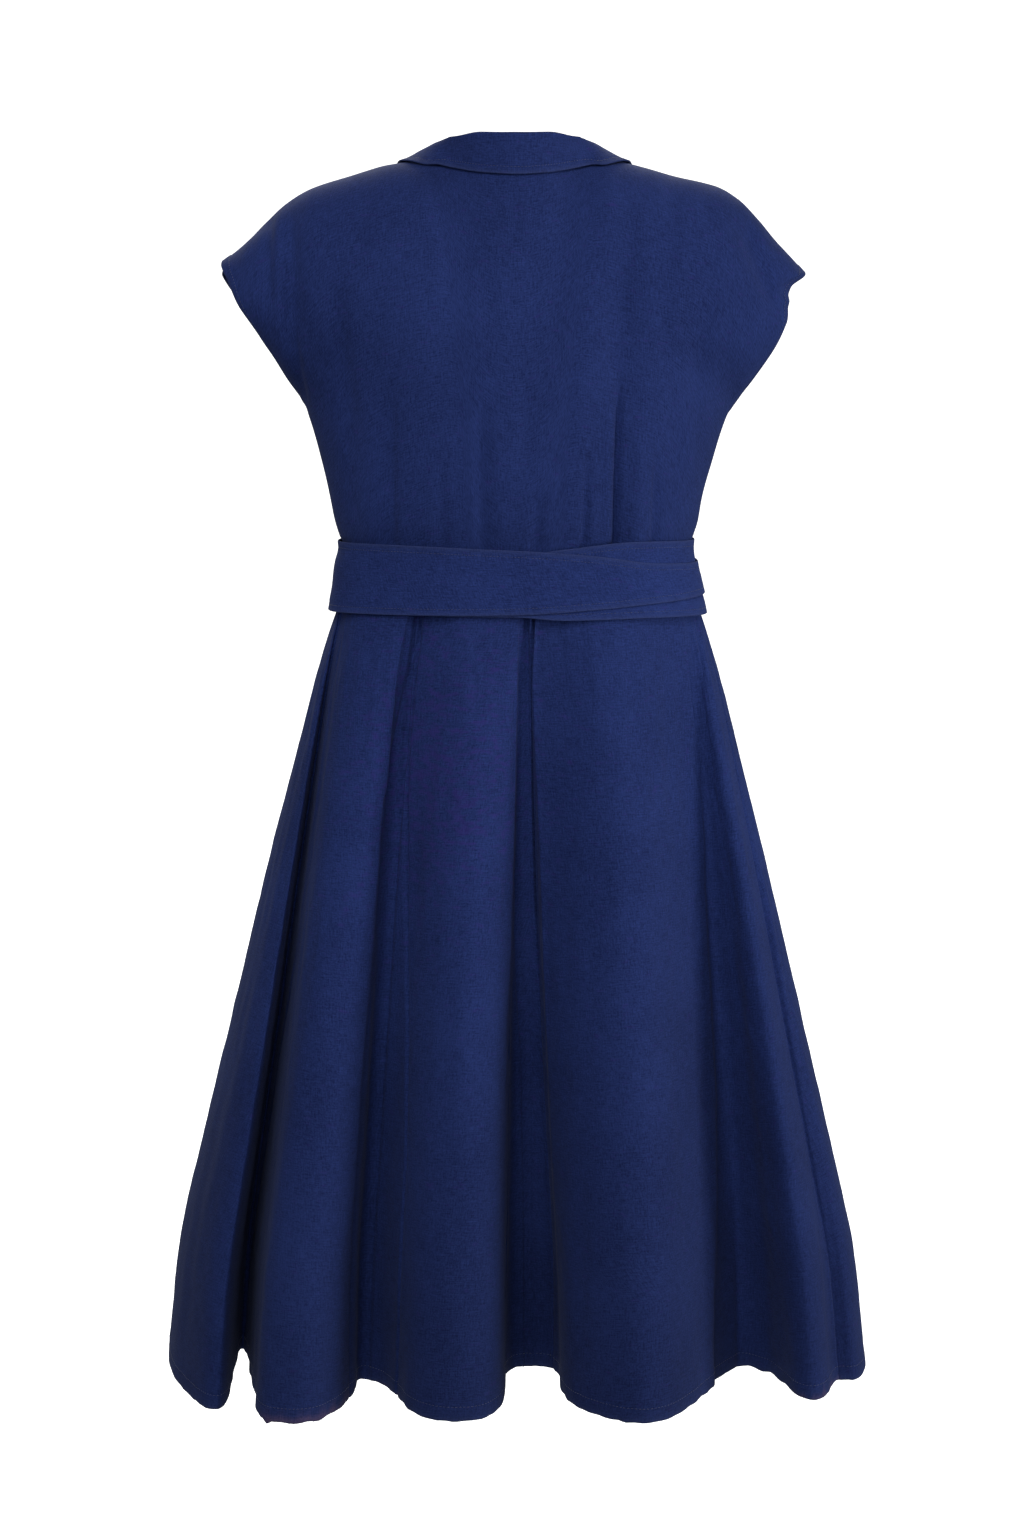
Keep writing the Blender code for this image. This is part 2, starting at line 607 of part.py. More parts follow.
def build_skirt_panel(name, start, end, start_lap=0.0, end_lap=0.0, tuck_side=0):
    """One skirt panel between two fold rows, each edge moved on by its lap."""
    drops = np.array(SKIRT_DROPS)
    count = int(round((end - start) * COLUMNS_PER_FOLD)) + 1
    first = place_shift(np.full_like(drops, start), drops, start_lap)
    last = place_shift(np.full_like(drops, end), drops, end_lap)
    across = np.linspace(0.0, 1.0, count)
    place = first[:, None] + (last - first)[:, None] * across
    drop = np.repeat(drops[:, None], count, axis=1)
    points, normals = skirt(place, drop)
    if tuck_side:
        tucked = 1 - ease(LAP, LAP + LAP_BLEND, points[..., 0] * tuck_side)
        points = points - normals * (tucked * (CLOTH + LAP_GAP))[..., None]
    points[0, :, 2] -= SEAM_GAP / 2
    wall_object(name, points, normals, CLOTH, cloth_material(f"{name}_cloth", NAVY, CLOTH_ROUGHNESS))


def build_skirt():
    half = SEAM_GAP / 2
    centre = FOLD_NUMBER["centre_pleat"]
    left = FOLD_NUMBER["left_seam_valley"]
    front = FOLD_NUMBER["centre_front"]
    right = FOLD_NUMBER["right_seam_valley"]
    build_skirt_panel("skirt_back_left", centre, left, half, -half)
    build_skirt_panel("skirt_front_left", left, front, half, LAP, tuck_side=1)
    build_skirt_panel("skirt_front_right", front, right, -LAP, -half)
    build_skirt_panel("skirt_back_right", right, centre + FOLDS, half, -half)


def collar_point(station, across):
    """Under side of the collar: station -1 to 1 round the neck, across 0 to 1."""
    away = abs(station)
    sign = 1.0 if station >= 0 else -1.0
    row = {name: float(smooth_through(column(COLLAR_ROWS, "round"), column(COLLAR_ROWS, name), away))
           for name in CollarRow._fields[1:]}
    sheet = "back" if away <= SHOULDER_ROUND else "front"
    seam_along = 1.0
    if sheet == "front":
        seam_across = math.asin(row["seam_share"]) * 2 / math.pi
        seam_along = 2.0 - float(up_at_height("front", seam_across, front_edge_height(seam_across)))
    fall = max(0.0, (across - COLLAR_ROLL_AT) / (1 - COLLAR_ROLL_AT))
    share = row["seam_share"] + (row["edge_share"] - row["seam_share"]) * fall
    along = seam_along + (row["edge_along"] - seam_along) * fall
    up = along if sheet == "back" else 2.0 - along
    column_across = math.asin(share) * 2 / math.pi
    if away > SHOULDER_ROUND:
        seam_z = front_edge_height(math.asin(row["seam_share"]) * 2 / math.pi)
        edge_z = bodice_base("front", math.asin(row["edge_share"]) * 2 / math.pi,
                             2.0 - row["edge_along"])[2]
        straight = up_at_height("front", column_across, seam_z + (edge_z - seam_z) * fall)
        up += (float(straight) - up) * float(ease(*COLLAR_STRAIGHT, away))
    point, normal = bodice(sheet, sign * column_across, up)
    lift = row["roll"] * (across / COLLAR_ROLL_AT if fall == 0 else (1 - fall) ** COLLAR_FALL_POWER)
    lean = COLLAR_SEAM_CLEAR + (COLLAR_CLEAR - COLLAR_SEAM_CLEAR) * ease(
        0.0, COLLAR_LEAN_AT, across)
    return point + normal * lean + np.array([0.0, 0.0, lift])


def build_collar():
    stations = np.linspace(-1.0, 1.0, 2 * COLLAR_STATIONS + 1)
    points = np.array([[collar_point(station, across) for station in stations]
                       for across in COLLAR_ACROSS])
    points[..., 2] += SEAM_GAP
    wall_object("collar", points, grid_normals(points), -COLLAR_CLOTH,
                cloth_material("collar_cloth", NAVY, CLOTH_ROUGHNESS))


def grid_normals(points):
    """Normals of a grid from its own neighbours."""
    down = np.gradient(points, axis=0)
    along = np.gradient(points, axis=1)
    return unit(np.cross(along, down))


def sash_oval(angle, height):
    heights = column(SASH_OVAL_ROWS, "height")
    sizes = [smooth_through(heights, column(SASH_OVAL_ROWS, name), height)
             for name in ("left", "right", "back", "front")]
    return oval_point(angle, *sizes)


def sash_point(degrees, height, outward):
    """Point of the sash's oval at a height, moved outward in plan."""
    angle = np.radians(degrees)
    step = ANGLE_STEP
    along = sash_oval(angle + step, height) - sash_oval(angle - step, height)
    flat = np.zeros_like(along[..., 0])
    normal = unit(np.stack([-along[..., 1], along[..., 0], flat], axis=-1))
    point = np.concatenate([sash_oval(angle, height), (flat + height)[..., None]], axis=-1)
    return point + normal * outward, normal


def build_sash_turn(name, rows, outward):
    degrees = np.linspace(-180.0, 180.0, SASH_COLUMNS, endpoint=False)
    top = smooth_through(column(rows, "deg"), column(rows, "top"), degrees)
    low = smooth_through(column(rows, "deg"), column(rows, "low"), degrees)
    share = np.linspace(0.0, 1.0, SASH_ACROSS + 1)[:, None]
    height = top + (low - top) * share
    points, normals = sash_point(np.broadcast_to(degrees, height.shape), height, outward)
    wall_object(name, points, normals, SASH_CLOTH,
                cloth_material(f"{name}_cloth", NAVY, CLOTH_ROUGHNESS), closed=True)


def build_sash():
    inner_out = SASH_CLOTH
    outer_out = inner_out + SASH_CLOTH + TURN_GAP
    build_sash_turn("sash_inner_turn", INNER_TURN_ROWS, inner_out)
    build_sash_turn("sash_outer_turn", OUTER_TURN_ROWS, outer_out)
    build_knot(outer_out)
    for row in TAIL_ROWS:
        build_tail(row)


def build_knot(outward):
    """The flat knot: a rounded block pressed against the outer turn."""
    centre, normal = sash_point(np.array(KNOT_DEG), np.array(KNOT_Z),
                                outward + KNOT_SIZE[1] / 2 + KNOT_CLEAR)
    mesh = bmesh.new()
    bmesh.ops.create_cube(mesh, size=1.0)
    bmesh.ops.subdivide_edges(mesh, edges=mesh.edges, cuts=KNOT_CUTS, use_grid_fill=True)
    for vertex in mesh.verts:
        ball = vertex.co.normalized() * KNOT_BALL
        vertex.co = vertex.co.lerp(ball, KNOT_ROUNDING)
    turn = math.atan2(normal[0], -normal[1])
    mesh.transform(Matrix.Translation(Vector(centre)) @ Matrix.Rotation(turn, 4, "Z")
                   @ Matrix.Diagonal((*KNOT_SIZE, 1.0)))
    finish("sash_knot", mesh, cloth_material("sash_knot_cloth", NAVY, CLOTH_ROUGHNESS))


def build_tail(row):
    """A sash end that hangs from the knot over the left front of the skirt."""
    top_drop = (TAIL_TOP_Z - WAIST_Z) / (HEM_Z - WAIST_Z)
    low_drop = top_drop - row.length / (HEM_Z - WAIST_Z)
    along = np.array(TAIL_ALONG)
    drops = top_drop + (low_drop - top_drop) * along
    place = FOLD_NUMBER["front_left_ridge"] + np.zeros_like(drops)
    width = row.width * (TAIL_GATHERED + (1 - TAIL_GATHERED) * ease(0.0, TAIL_SPREAD_BY, along))
    centre = place_shift(place, drops, -row.shift - row.lean * row.length * along)
    grid = [place_shift(centre, drops, width * share) for share in TAIL_SHARES]
    places = np.stack(grid, axis=1)
    points, normals = skirt(places, np.repeat(drops[:, None], len(TAIL_SHARES), axis=1))
    lift = TAIL_LIFT * (1 - ease(TAIL_LIFTED, TAIL_DOWN, along * row.length))
    points = points + normals * (row.clear + SASH_CLOTH + lift)[:, None, None]
    wall_object(row.name, points, normals, SASH_CLOTH,
                cloth_material(f"{row.name}_cloth", NAVY, CLOTH_ROUGHNESS))


def build_button(number, centre, normal):
    """A domed button whose back lies just off the cloth."""
    mesh = bmesh.new()
    bmesh.ops.create_cone(mesh, cap_ends=True, segments=BUTTON_SIDES, radius1=BUTTON_RADIUS,
                          radius2=BUTTON_RADIUS, depth=BUTTON_THICK)
    rim = [edge for edge in mesh.edges if not edge.is_boundary and edge.calc_face_angle(0.0) > 1.0]
    bmesh.ops.bevel(mesh, geom=rim, offset=BUTTON_EDGE, segments=1, affect="EDGES")
    facing = Vector(normal).to_track_quat("Z", "Y").to_matrix().to_4x4()
    place = Vector(centre) + Vector(normal) * (BUTTON_THICK / 2 + BUTTON_CLEAR)
    mesh.transform(Matrix.Translation(place) @ facing)
    finish(f"button_{number}", mesh,
           cloth_material(f"button_{number}_plastic", BUTTON_NAVY, BUTTON_ROUGHNESS))


def build_buttons():
    number = 1
    for height in BODICE_BUTTON_HEIGHTS:
        point, normal = bodice("front", 0.0, up_at_height("front", 0.0, height))
        build_button(number, point, normal)
        number += 1
    for height in SKIRT_BUTTON_HEIGHTS:
        drop = (height - WAIST_Z) / (HEM_Z - WAIST_Z)
        point, normal = skirt(float(FOLD_NUMBER["centre_front"]), drop)
        build_button(number, point, normal)
        number += 1


def main():
    for old in list(bpy.data.objects):
        bpy.data.objects.remove(old)
    collection = bpy.data.collections.new("shirt_dress")
    bpy.context.scene.collection.children.link(collection)
    build_bodice_back()
    build_bodice_fronts()
    build_collar()
    build_skirt()
    build_sash()
    build_buttons()


main()
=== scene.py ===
import math

import bpy
import numpy as np
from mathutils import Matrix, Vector


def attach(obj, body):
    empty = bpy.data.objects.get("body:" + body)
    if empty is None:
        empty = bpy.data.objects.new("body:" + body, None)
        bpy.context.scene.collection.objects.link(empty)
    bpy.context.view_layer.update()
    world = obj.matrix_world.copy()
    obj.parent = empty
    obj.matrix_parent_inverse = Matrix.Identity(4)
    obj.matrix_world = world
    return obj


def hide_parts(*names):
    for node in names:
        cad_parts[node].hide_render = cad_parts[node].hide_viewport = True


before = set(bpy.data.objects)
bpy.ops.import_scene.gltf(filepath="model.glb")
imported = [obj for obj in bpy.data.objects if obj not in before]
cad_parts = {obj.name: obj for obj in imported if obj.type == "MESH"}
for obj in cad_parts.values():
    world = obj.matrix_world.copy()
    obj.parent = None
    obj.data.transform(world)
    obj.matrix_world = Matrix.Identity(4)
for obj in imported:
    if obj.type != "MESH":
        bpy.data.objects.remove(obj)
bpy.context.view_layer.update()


# Rows of numbers as one array for each named column.
def table(names, rows):
    return dict(zip(names.split(), np.array(rows, float).T))


# Cubic from start to end with the given speeds at its two ends.
def hermite(start, end, leave, arrive, share):
    square = share * share
    cube = square * share
    return (start * (2 * cube - 3 * square + 1) + leave * (cube - 2 * square + share)
            + end * (3 * square - 2 * cube) + arrive * (cube - square))


# Values on a smooth curve through the stations that never overshoots.
def smoothThrough(stations, values, at):
    steps = np.diff(stations)
    slopes = np.diff(values) / steps
    tangents = np.empty(len(values))
    tangents[0], tangents[-1] = slopes[0], slopes[-1]
    before, after = slopes[:-1], slopes[1:]
    agree = before * after > 0
    tangents[1:-1] = np.where(agree, 2 * before * after / np.where(agree, before + after, 1), 0)
    at = np.clip(np.asarray(at, float), stations[0], stations[-1])
    low = np.clip(np.searchsorted(stations, at, side="right") - 1, 0, len(steps) - 1)
    return hermite(values[low], values[low + 1], tangents[low] * steps[low],
                   tangents[low + 1] * steps[low], (at - stations[low]) / steps[low])


# 0 below low, 1 above high and smooth between.
def ease(low, high, value):
    share = np.clip((value - low) / (high - low), 0, 1)
    return share * share * (3 - 2 * share)


# exp(-(away / width) squared): a bell that is 1 where away is 0.
def bell(away, width):
    return np.exp(-(away / width) ** 2)


# Each vector divided by its length.
def unit(vectors):
    return vectors / np.maximum(np.linalg.norm(vectors, axis=-1, keepdims=True), 1e-12)


# Sum of 16 sine waves with wavelengths from low to high; lean is how far their crests tilt from y.
def ripple(x, y, low, high, lean, seed):
    random = np.random.default_rng(seed)
    total = 0
    for number in range(16):
        length = low * (high / low) ** random.random()
        angle = random.normal(0, lean)
        phase = random.random() * 2 * math.pi
        total = total + np.sin(2 * math.pi * (x * math.cos(angle) + y * math.sin(angle)) / length
                               + phase) * (length / high) ** 0.7
    return total / 4


# The bodice: surfaces over across (-1 to 1 between the sides) and up (0 to 1, waist to shoulder)

bodice = {"waistZ": -0.372, "tipX": 0.254, "neckShare": 0.068 / 0.254, "fullness": 2.3,
          "sharpness": 6.0, "vNeckZ": -0.140, "neckPointZ": -0.0062,
          "neckDrop": {"back": 0.010, "front": 0.045},
          "neckDepth": {"back": 0.062, "front": -0.050},
          "lap": 0.014, "lapBlend": 0.030, "lapGap": 0.0020, "cloth": 0.0011}
sideRows = table("height left right", [
    (-0.372, 0.1480, 0.1525), (-0.344, 0.1492, 0.1538), (-0.336, 0.1535, 0.1553),
    (-0.321, 0.1578, 0.1600), (-0.303, 0.1612, 0.1632), (-0.268, 0.1690, 0.1725),
    (-0.233, 0.1782, 0.1835),
    (-0.216, 0.1858, 0.1913), (-0.199, 0.1953, 0.2040), (-0.164, 0.2160, 0.2256),
    (-0.130, 0.2390, 0.2395), (-0.112, 0.2480, 0.2500), (-0.097, 0.2540, 0.2540)])
shoulderRows = table("out left right", [
    (0.068, -0.0062, -0.0062), (0.085, -0.0105, -0.0107), (0.100, -0.0132, -0.0138),
    (0.112, -0.0152, -0.0168), (0.140, -0.0235, -0.0246), (0.175, -0.0345, -0.0328),
    (0.194, -0.0450, -0.0434), (0.213, -0.0613, -0.0622), (0.228, -0.0765, -0.0796),
    (0.242, -0.0885, -0.0940), (0.254, -0.0970, -0.1068)])
depthRows = table("height back front", [
    (-0.372, 0.0870, -0.1090), (-0.338, 0.0880, -0.1100), (-0.320, 0.0940, -0.1145),
    (-0.295, 0.0985, -0.1225), (-0.262, 0.1022, -0.1315), (-0.232, 0.1045, -0.1358),
    (-0.195, 0.1076, -0.1370), (-0.155, 0.1096, -0.1328), (-0.110, 0.1098, -0.1240),
    (-0.060, 0.1070, -0.1150), (0.000, 0.1020, -0.1050)])
sleeveRows = table("share back front", [
    (0.00, 0.000, 0.000), (0.56, 0.000, 0.000), (0.70, 0.034, -0.038), (0.85, 0.056, -0.062),
    (1.00, 0.068, -0.074)])


# The left value where the share is 0 or more, else the right one.
def bySide(share, left, right):
    return np.where(share >= 0, left, right)


# Depth of a squarish oval at a share of its half width.
def rounded(share):
    return np.abs(1 - np.abs(share) ** bodice["fullness"]) ** (1 / bodice["fullness"])


# Height of the shoulder seam at a share of its reach, read from its rows.
def shoulderHeight(share):
    out = np.abs(share) * bodice["tipX"]
    return bySide(share, *(smoothThrough(shoulderRows["out"], shoulderRows[side], out)
                           for side in ("left", "right")))


# Half width of the bodice on the share's side at a height.
def sideWidth(share, height):
    return bySide(share, *(smoothThrough(sideRows["height"], sideRows[side], height)
                           for side in ("left", "right")))


# 0 at the centre, growing evenly to 1 at the neck point, and 1 beyond it.
def neckPart(share):
    return np.clip(np.abs(share) / bodice["neckShare"], 0, 1)


# Shoulder height less a parabola that drops the neckline between the neck points.
def topHeight(sheet, share):
    return shoulderHeight(share) - bodice["neckDrop"][sheet] * (1 - neckPart(share) ** 2)


# Height at a share of the way from the waist to the sleeve's tip.
def sideHeight(share, rise):
    tip = bySide(share, shoulderRows["left"][-1], shoulderRows["right"][-1])
    return bodice["waistZ"] + (tip - bodice["waistZ"]) * rise


# Points: width by the side's curve, depth a squarish oval that closes over the shoulder.
def bodiceBase(sheet, across, up):
    share = np.sin(across * math.pi / 2)
    rise = 1 - (1 - up) ** 2
    roundness = np.sign(np.cos(across * math.pi / 2)) * rounded(share)
    topY = bodice["neckDepth"][sheet] * (1 - neckPart(share) ** 2)
    z = bodice["waistZ"] + (topHeight(sheet, share) - bodice["waistZ"]) * rise
    depth = smoothThrough(depthRows["height"], depthRows[sheet], z)
    sleeve = smoothThrough(sleeveRows["share"], sleeveRows[sheet], rise)
    power = 1 - 0.5 * ease(0.55, 1.25, np.abs(share) / bodice["neckShare"])
    closing = np.sign(1 - up) * np.abs(1 - rise ** bodice["sharpness"]) ** power
    y = topY * (1 - np.abs(closing)) + (sleeve + (depth - sleeve) * roundness) * closing
    x = sideWidth(share, sideHeight(share, rise)) * share
    return np.stack([x, y, z], axis=-1)


# Outer points and outward normals, the normals from small steps along both ways.
def bodiceSurface(sheet, across, up):
    across, up = np.broadcast_arrays(np.asarray(across, float), np.asarray(up, float))
    step = 0.004
    atUp = np.where(neckPart(np.sin(across * math.pi / 2)) < 1, np.minimum(up, 0.975), up)
    atTip = (up > 0.97) & (np.abs(across) > 0.97)
    atAcross = np.where(atTip, np.sign(across) * 0.97, across)
    along = bodiceBase(sheet, atAcross + step, atUp) - bodiceBase(sheet, atAcross - step, atUp)
    upward = bodiceBase(sheet, atAcross, atUp + step) - bodiceBase(sheet, atAcross, atUp - step)
    normals = unit(np.cross(along, upward)) * (-1 if sheet == "back" else 1)
    return bodiceBase(sheet, across, up), normals


# How far up a sheet's column a height lies.
def upAtHeight(sheet, across, height):
    top = topHeight(sheet, np.sin(across * math.pi / 2))
    rise = np.clip((height - bodice["waistZ"]) / (top - bodice["waistZ"]), 0, 1)
    return 1 - np.sqrt(1 - rise)


# The V between the neck points and the shoulder seam outside them.
def frontEdgeHeight(across):
    share = np.sin(across * math.pi / 2)
    vee = bodice["vNeckZ"] + (bodice["neckPointZ"] - bodice["vNeckZ"]) * neckPart(share)
    return np.where(neckPart(share) < 1, vee, shoulderHeight(share))


# The skirt: a surface over place (counts the fold rows round from the centre back) and drop

skirt = {"hemZ": -1.075, "waistBack": 0.087, "waistFront": 0.109}
foldRows = table("waistDeg x y turn before after late", [
    (-3.5, -0.017, 0.0625, 0.0, 0.060, 0.069, 1.0),  # centre pleat
    (-0.5, 0.0085, 0.112, 90.0, 0.135, 0.135, 1.0),  # pleat left edge
    (14.0, 0.050, 0.1965, 0.0, 0.100, 0.135, 1.0),  # left ridge
    (33.5, 0.128, 0.097, -30.0, 0.075, 0.036, 1.0),  # left valley
    (36.0, 0.142, 0.125, 85.0, 0.060, 0.105, 0.8),  # left valley edge
    (52.0, 0.187, 0.199, 0.0, 0.080, 0.120, 1.0),  # left outer ridge
    (70.0, 0.228, 0.130, -80.0, 0.120, 0.110, 1.0),  # left outer edge
    (77.0, 0.2485, 0.0195, -10.0, 0.018, 0.015, 1.0),  # left seam valley
    (82.0, 0.2505, 0.090, 92.0, 0.090, 0.130, 1.0),  # left side edge
    (91.0, 0.258, 0.1675, -5.0, 0.018, 0.080, 1.0),  # left side ridge
    (104.0, 0.317, 0.010, -87.0, 0.150, 0.080, 1.0),  # left side
    (119.0, 0.255, -0.070, -140.0, 0.060, 0.050, 1.0),  # front left side valley
    (133.0, 0.228, -0.170, -165.0, 0.100, 0.110, 1.0),  # front left side ridge
    (147.0, 0.160, -0.105, 180.0, 0.045, 0.045, 1.0),  # front left valley
    (161.0, 0.098, -0.200, 180.0, 0.110, 0.100, 1.0),  # front left ridge
    (180.0, 0.000, -0.192, 180.0, 0.090, 0.090, 1.0),  # centre front
    (199.0, -0.104, -0.202, 180.0, 0.100, 0.115, 1.0),  # front right ridge
    (213.0, -0.166, -0.100, 180.0, 0.045, 0.045, 1.0),  # front right valley
    (227.0, -0.232, -0.166, 163.0, 0.110, 0.105, 1.0),  # front right side ridge
    (241.0, -0.262, -0.075, 125.0, 0.050, 0.050, 1.0),  # front right side valley
    (256.0, -0.316, -0.005, 88.0, 0.080, 0.070, 1.0),  # right side
    (267.0, -0.302, 0.096, 30.0, 0.060, 0.018, 1.0),  # right side ridge
    (273.0, -0.287, 0.095, 8.0, 0.014, 0.012, 1.0),  # right seam valley
    (281.0, -0.259, 0.142, 0.0, 0.048, 0.055, 1.0),  # right outer ridge
    (294.0, -0.204, 0.0605, 0.0, 0.072, 0.070, 1.0),  # right valley
    (330.0, -0.108, 0.1985, 0.0, 0.150, 0.120, 1.0),  # right ridge
    (353.5, -0.0405, 0.112, -90.0, 0.105, 0.126, 2.0),  # pleat right edge
])
foldNames = [
    "centrePleat", "pleatLeftEdge", "leftRidge", "leftValley", "leftValleyEdge", "leftOuterRidge",
    "leftOuterEdge", "leftSeamValley", "leftSideEdge", "leftSideRidge", "leftSide",
    "frontLeftSideValley", "frontLeftSideRidge", "frontLeftValley", "frontLeftRidge", "centreFront",
    "frontRightRidge", "frontRightValley", "frontRightSideRidge", "frontRightSideValley",
    "rightSide", "rightSideRidge", "rightSeamValley", "rightOuterRidge", "rightValley",
    "rightRidge", "pleatRightEdge",
]
foldAt = {name: float(number) for number, name in enumerate(foldNames)}
foldCount = len(foldNames)
flareRows = table("drop flare", [
    (0.000, 0.000), (0.041, 0.074), (0.115, 0.178), (0.230, 0.306), (0.385, 0.470),
    (0.542, 0.625), (0.701, 0.785), (0.862, 0.935), (1.000, 1.000)])


# Plan point of a squarish oval, its angle counted from the centre back to the left.
def ovalPoint(angle, left, right, back, front):
    share, turned = np.sin(angle), np.cos(angle)
    x = np.where(share >= 0, left, right) * share
    y = np.where(turned >= 0, back, -front) * rounded(share)
    return np.stack([x, y], axis=-1)


# The oval in which the skirt meets the bodice.
def waistOval(angle):
    return ovalPoint(angle, sideRows["left"][0], sideRows["right"][0],
                     skirt["waistBack"], skirt["waistFront"])


# Cubic between two fold rows, each of which runs from its waist angle to its place on the hem.
def skirtBase(place, drop):
    first = np.floor(place).astype(int)
    share = (place - first)[..., None]
    opened = smoothThrough(flareRows["drop"], flareRows["flare"], drop)
    ends = []
    for number, towards in ((first % foldCount, 1), ((first + 1) % foldCount, -1)):
        flare = (opened ** foldRows["late"][number])[..., None]
        degrees = foldRows["waistDeg"]
        neighbour = degrees[(number + towards) % foldCount]
        gap = np.radians((neighbour - degrees[number]) * towards % 360)
        angle = np.radians(degrees[number])
        rate = (waistOval(angle + 0.02) - waistOval(angle - 0.02)) / 0.04
        turn = np.radians(foldRows["turn"][number])
        reach = foldRows["after" if towards > 0 else "before"][number]
        heading = np.stack([np.cos(turn), np.sin(turn)], axis=-1)
        hem = np.stack([foldRows["x"][number], foldRows["y"][number]], axis=-1)
        speed = rate * gap[..., None] * (1 - flare) + heading * reach[..., None] * flare
        ends.append((waistOval(angle) * (1 - flare) + hem * flare, speed))
    ring = hermite(ends[0][0], ends[1][0], ends[0][1], ends[1][1], share)
    height = bodice["waistZ"] + (skirt["hemZ"] - bodice["waistZ"]) * drop
    return np.concatenate([ring, height[..., None]], axis=-1)


# Skirt points and outward normals, the normals from small steps along both ways.
def skirtSurface(place, drop):
    place, drop = np.broadcast_arrays(np.asarray(place, float), np.asarray(drop, float))
    along = skirtBase(place + 0.01, drop) - skirtBase(place - 0.01, drop)
    inside = np.clip(drop, 0.01, 0.99)
    down = skirtBase(place, inside + 0.01) - skirtBase(place, inside - 0.01)
    return skirtBase(place, drop), unit(np.cross(along, down))


# Metres of cloth for one step of place.
def placeSpeed(place, drop):
    ahead = skirtBase(place + 0.02, drop) - skirtBase(place - 0.02, drop)
    return np.linalg.norm(ahead, axis=-1) / 0.04


# Each crease is a trough (or with less than no depth a ridge) across its line of x, z points.
def bodiceRelief(rows, side, points):
    total = 0
    for face, line, depth, widths, fade in rows:
        if face != side:
            continue
        lineX, lineZ = np.array(line, float).T
        away = points[..., 0] - np.interp(-points[..., 2], -lineZ, lineX)
        width = np.where(away > 0, widths[0], widths[1])
        above = 1 - ease(lineZ[0] - fade, lineZ[0] + fade, points[..., 2])
        below = ease(lineZ[-1] - fade, lineZ[-1] + fade, points[..., 2])
        total = total - depth * above * below * bell(away, width)
    return total


# The shorter way round the skirt from one place to another, in fold rows.
def placesApart(place, at):
    return np.mod(place - at + foldCount / 2, foldCount) - foldCount / 2


# The same for the skirt, with lines of place, drop points; widths are metres of cloth.
def skirtRelief(rows, place, drop, speed):
    total = 0
    for line, depth, widths, fade in rows:
        linePlace, lineDrop = np.array(line, float).T
        at = np.interp(drop, lineDrop, linePlace)
        away = placesApart(place, at) * speed
        width = np.where(away > 0, widths[0], widths[1])
        above = ease(lineDrop[0] - fade, lineDrop[0] + fade, drop)
        below = 1 - ease(lineDrop[-1] - fade, lineDrop[-1] + fade, drop)
        total = total - depth * above * below * bell(away, width)
    return total


# Quads of a grid whose points are numbered row by row from start.
def gridFaces(rows, columns, start, around):
    row, column = np.meshgrid(np.arange(rows - 1), np.arange(columns if around else columns - 1),
                              indexing="ij")
    after = (column + 1) % columns
    below = (row + 1) * columns
    here = row * columns
    quads = np.stack([here + column, here + after, below + after, below + column], -1)
    return start + quads.reshape(-1, 4)


# A smooth shaded object from whole arrays, with its weave UVs and its float masks.
def meshObject(name, points, faces, material, weave=None, masks=None):
    mesh = bpy.data.meshes.new(name)
    sides = faces.shape[1]
    mesh.vertices.add(len(points))
    mesh.vertices.foreach_set("co", np.ascontiguousarray(points, np.float32).ravel())
    mesh.loops.add(faces.size)
    mesh.loops.foreach_set("vertex_index", np.ascontiguousarray(faces, np.int32).ravel())
    mesh.polygons.add(len(faces))
    mesh.polygons.foreach_set("loop_start", np.arange(len(faces), dtype=np.int32) * sides)
    mesh.update(calc_edges=True)
    mesh.polygons.foreach_set("use_smooth", np.ones(len(faces), bool))
    if weave is not None:
        layer = mesh.uv_layers.new(name="weave")
        layer.data.foreach_set("uv", np.ascontiguousarray(weave[faces.ravel()], np.float32).ravel())
    for maskName, values in (masks or {}).items():
        attribute = mesh.attributes.new(maskName, "FLOAT", "POINT")
        attribute.data.foreach_set("value", np.ascontiguousarray(values, np.float32).ravel())
    mesh.validate()
    mesh.materials.append(material)
    built = bpy.data.objects.new(name, mesh)
    bpy.context.scene.collection.objects.link(built)
    return built


# Distances along each row from its first column and down each column from its first row.
def gridSpans(points):
    across = np.cumsum(np.linalg.norm(np.diff(points, axis=1), axis=-1), axis=1)
    down = np.cumsum(np.linalg.norm(np.diff(points, axis=0), axis=-1), axis=0)
    return (np.concatenate([np.zeros((len(points), 1)), across], axis=1),
            np.concatenate([np.zeros((1, points.shape[1])), down], axis=0))


# Weave coordinates in metres: across from the middle column, and down each column from the top.
def metricWeave(points, middle):
    across, down = gridSpans(points)
    return np.stack([across - across[:, middle:middle + 1], -down], axis=-1)


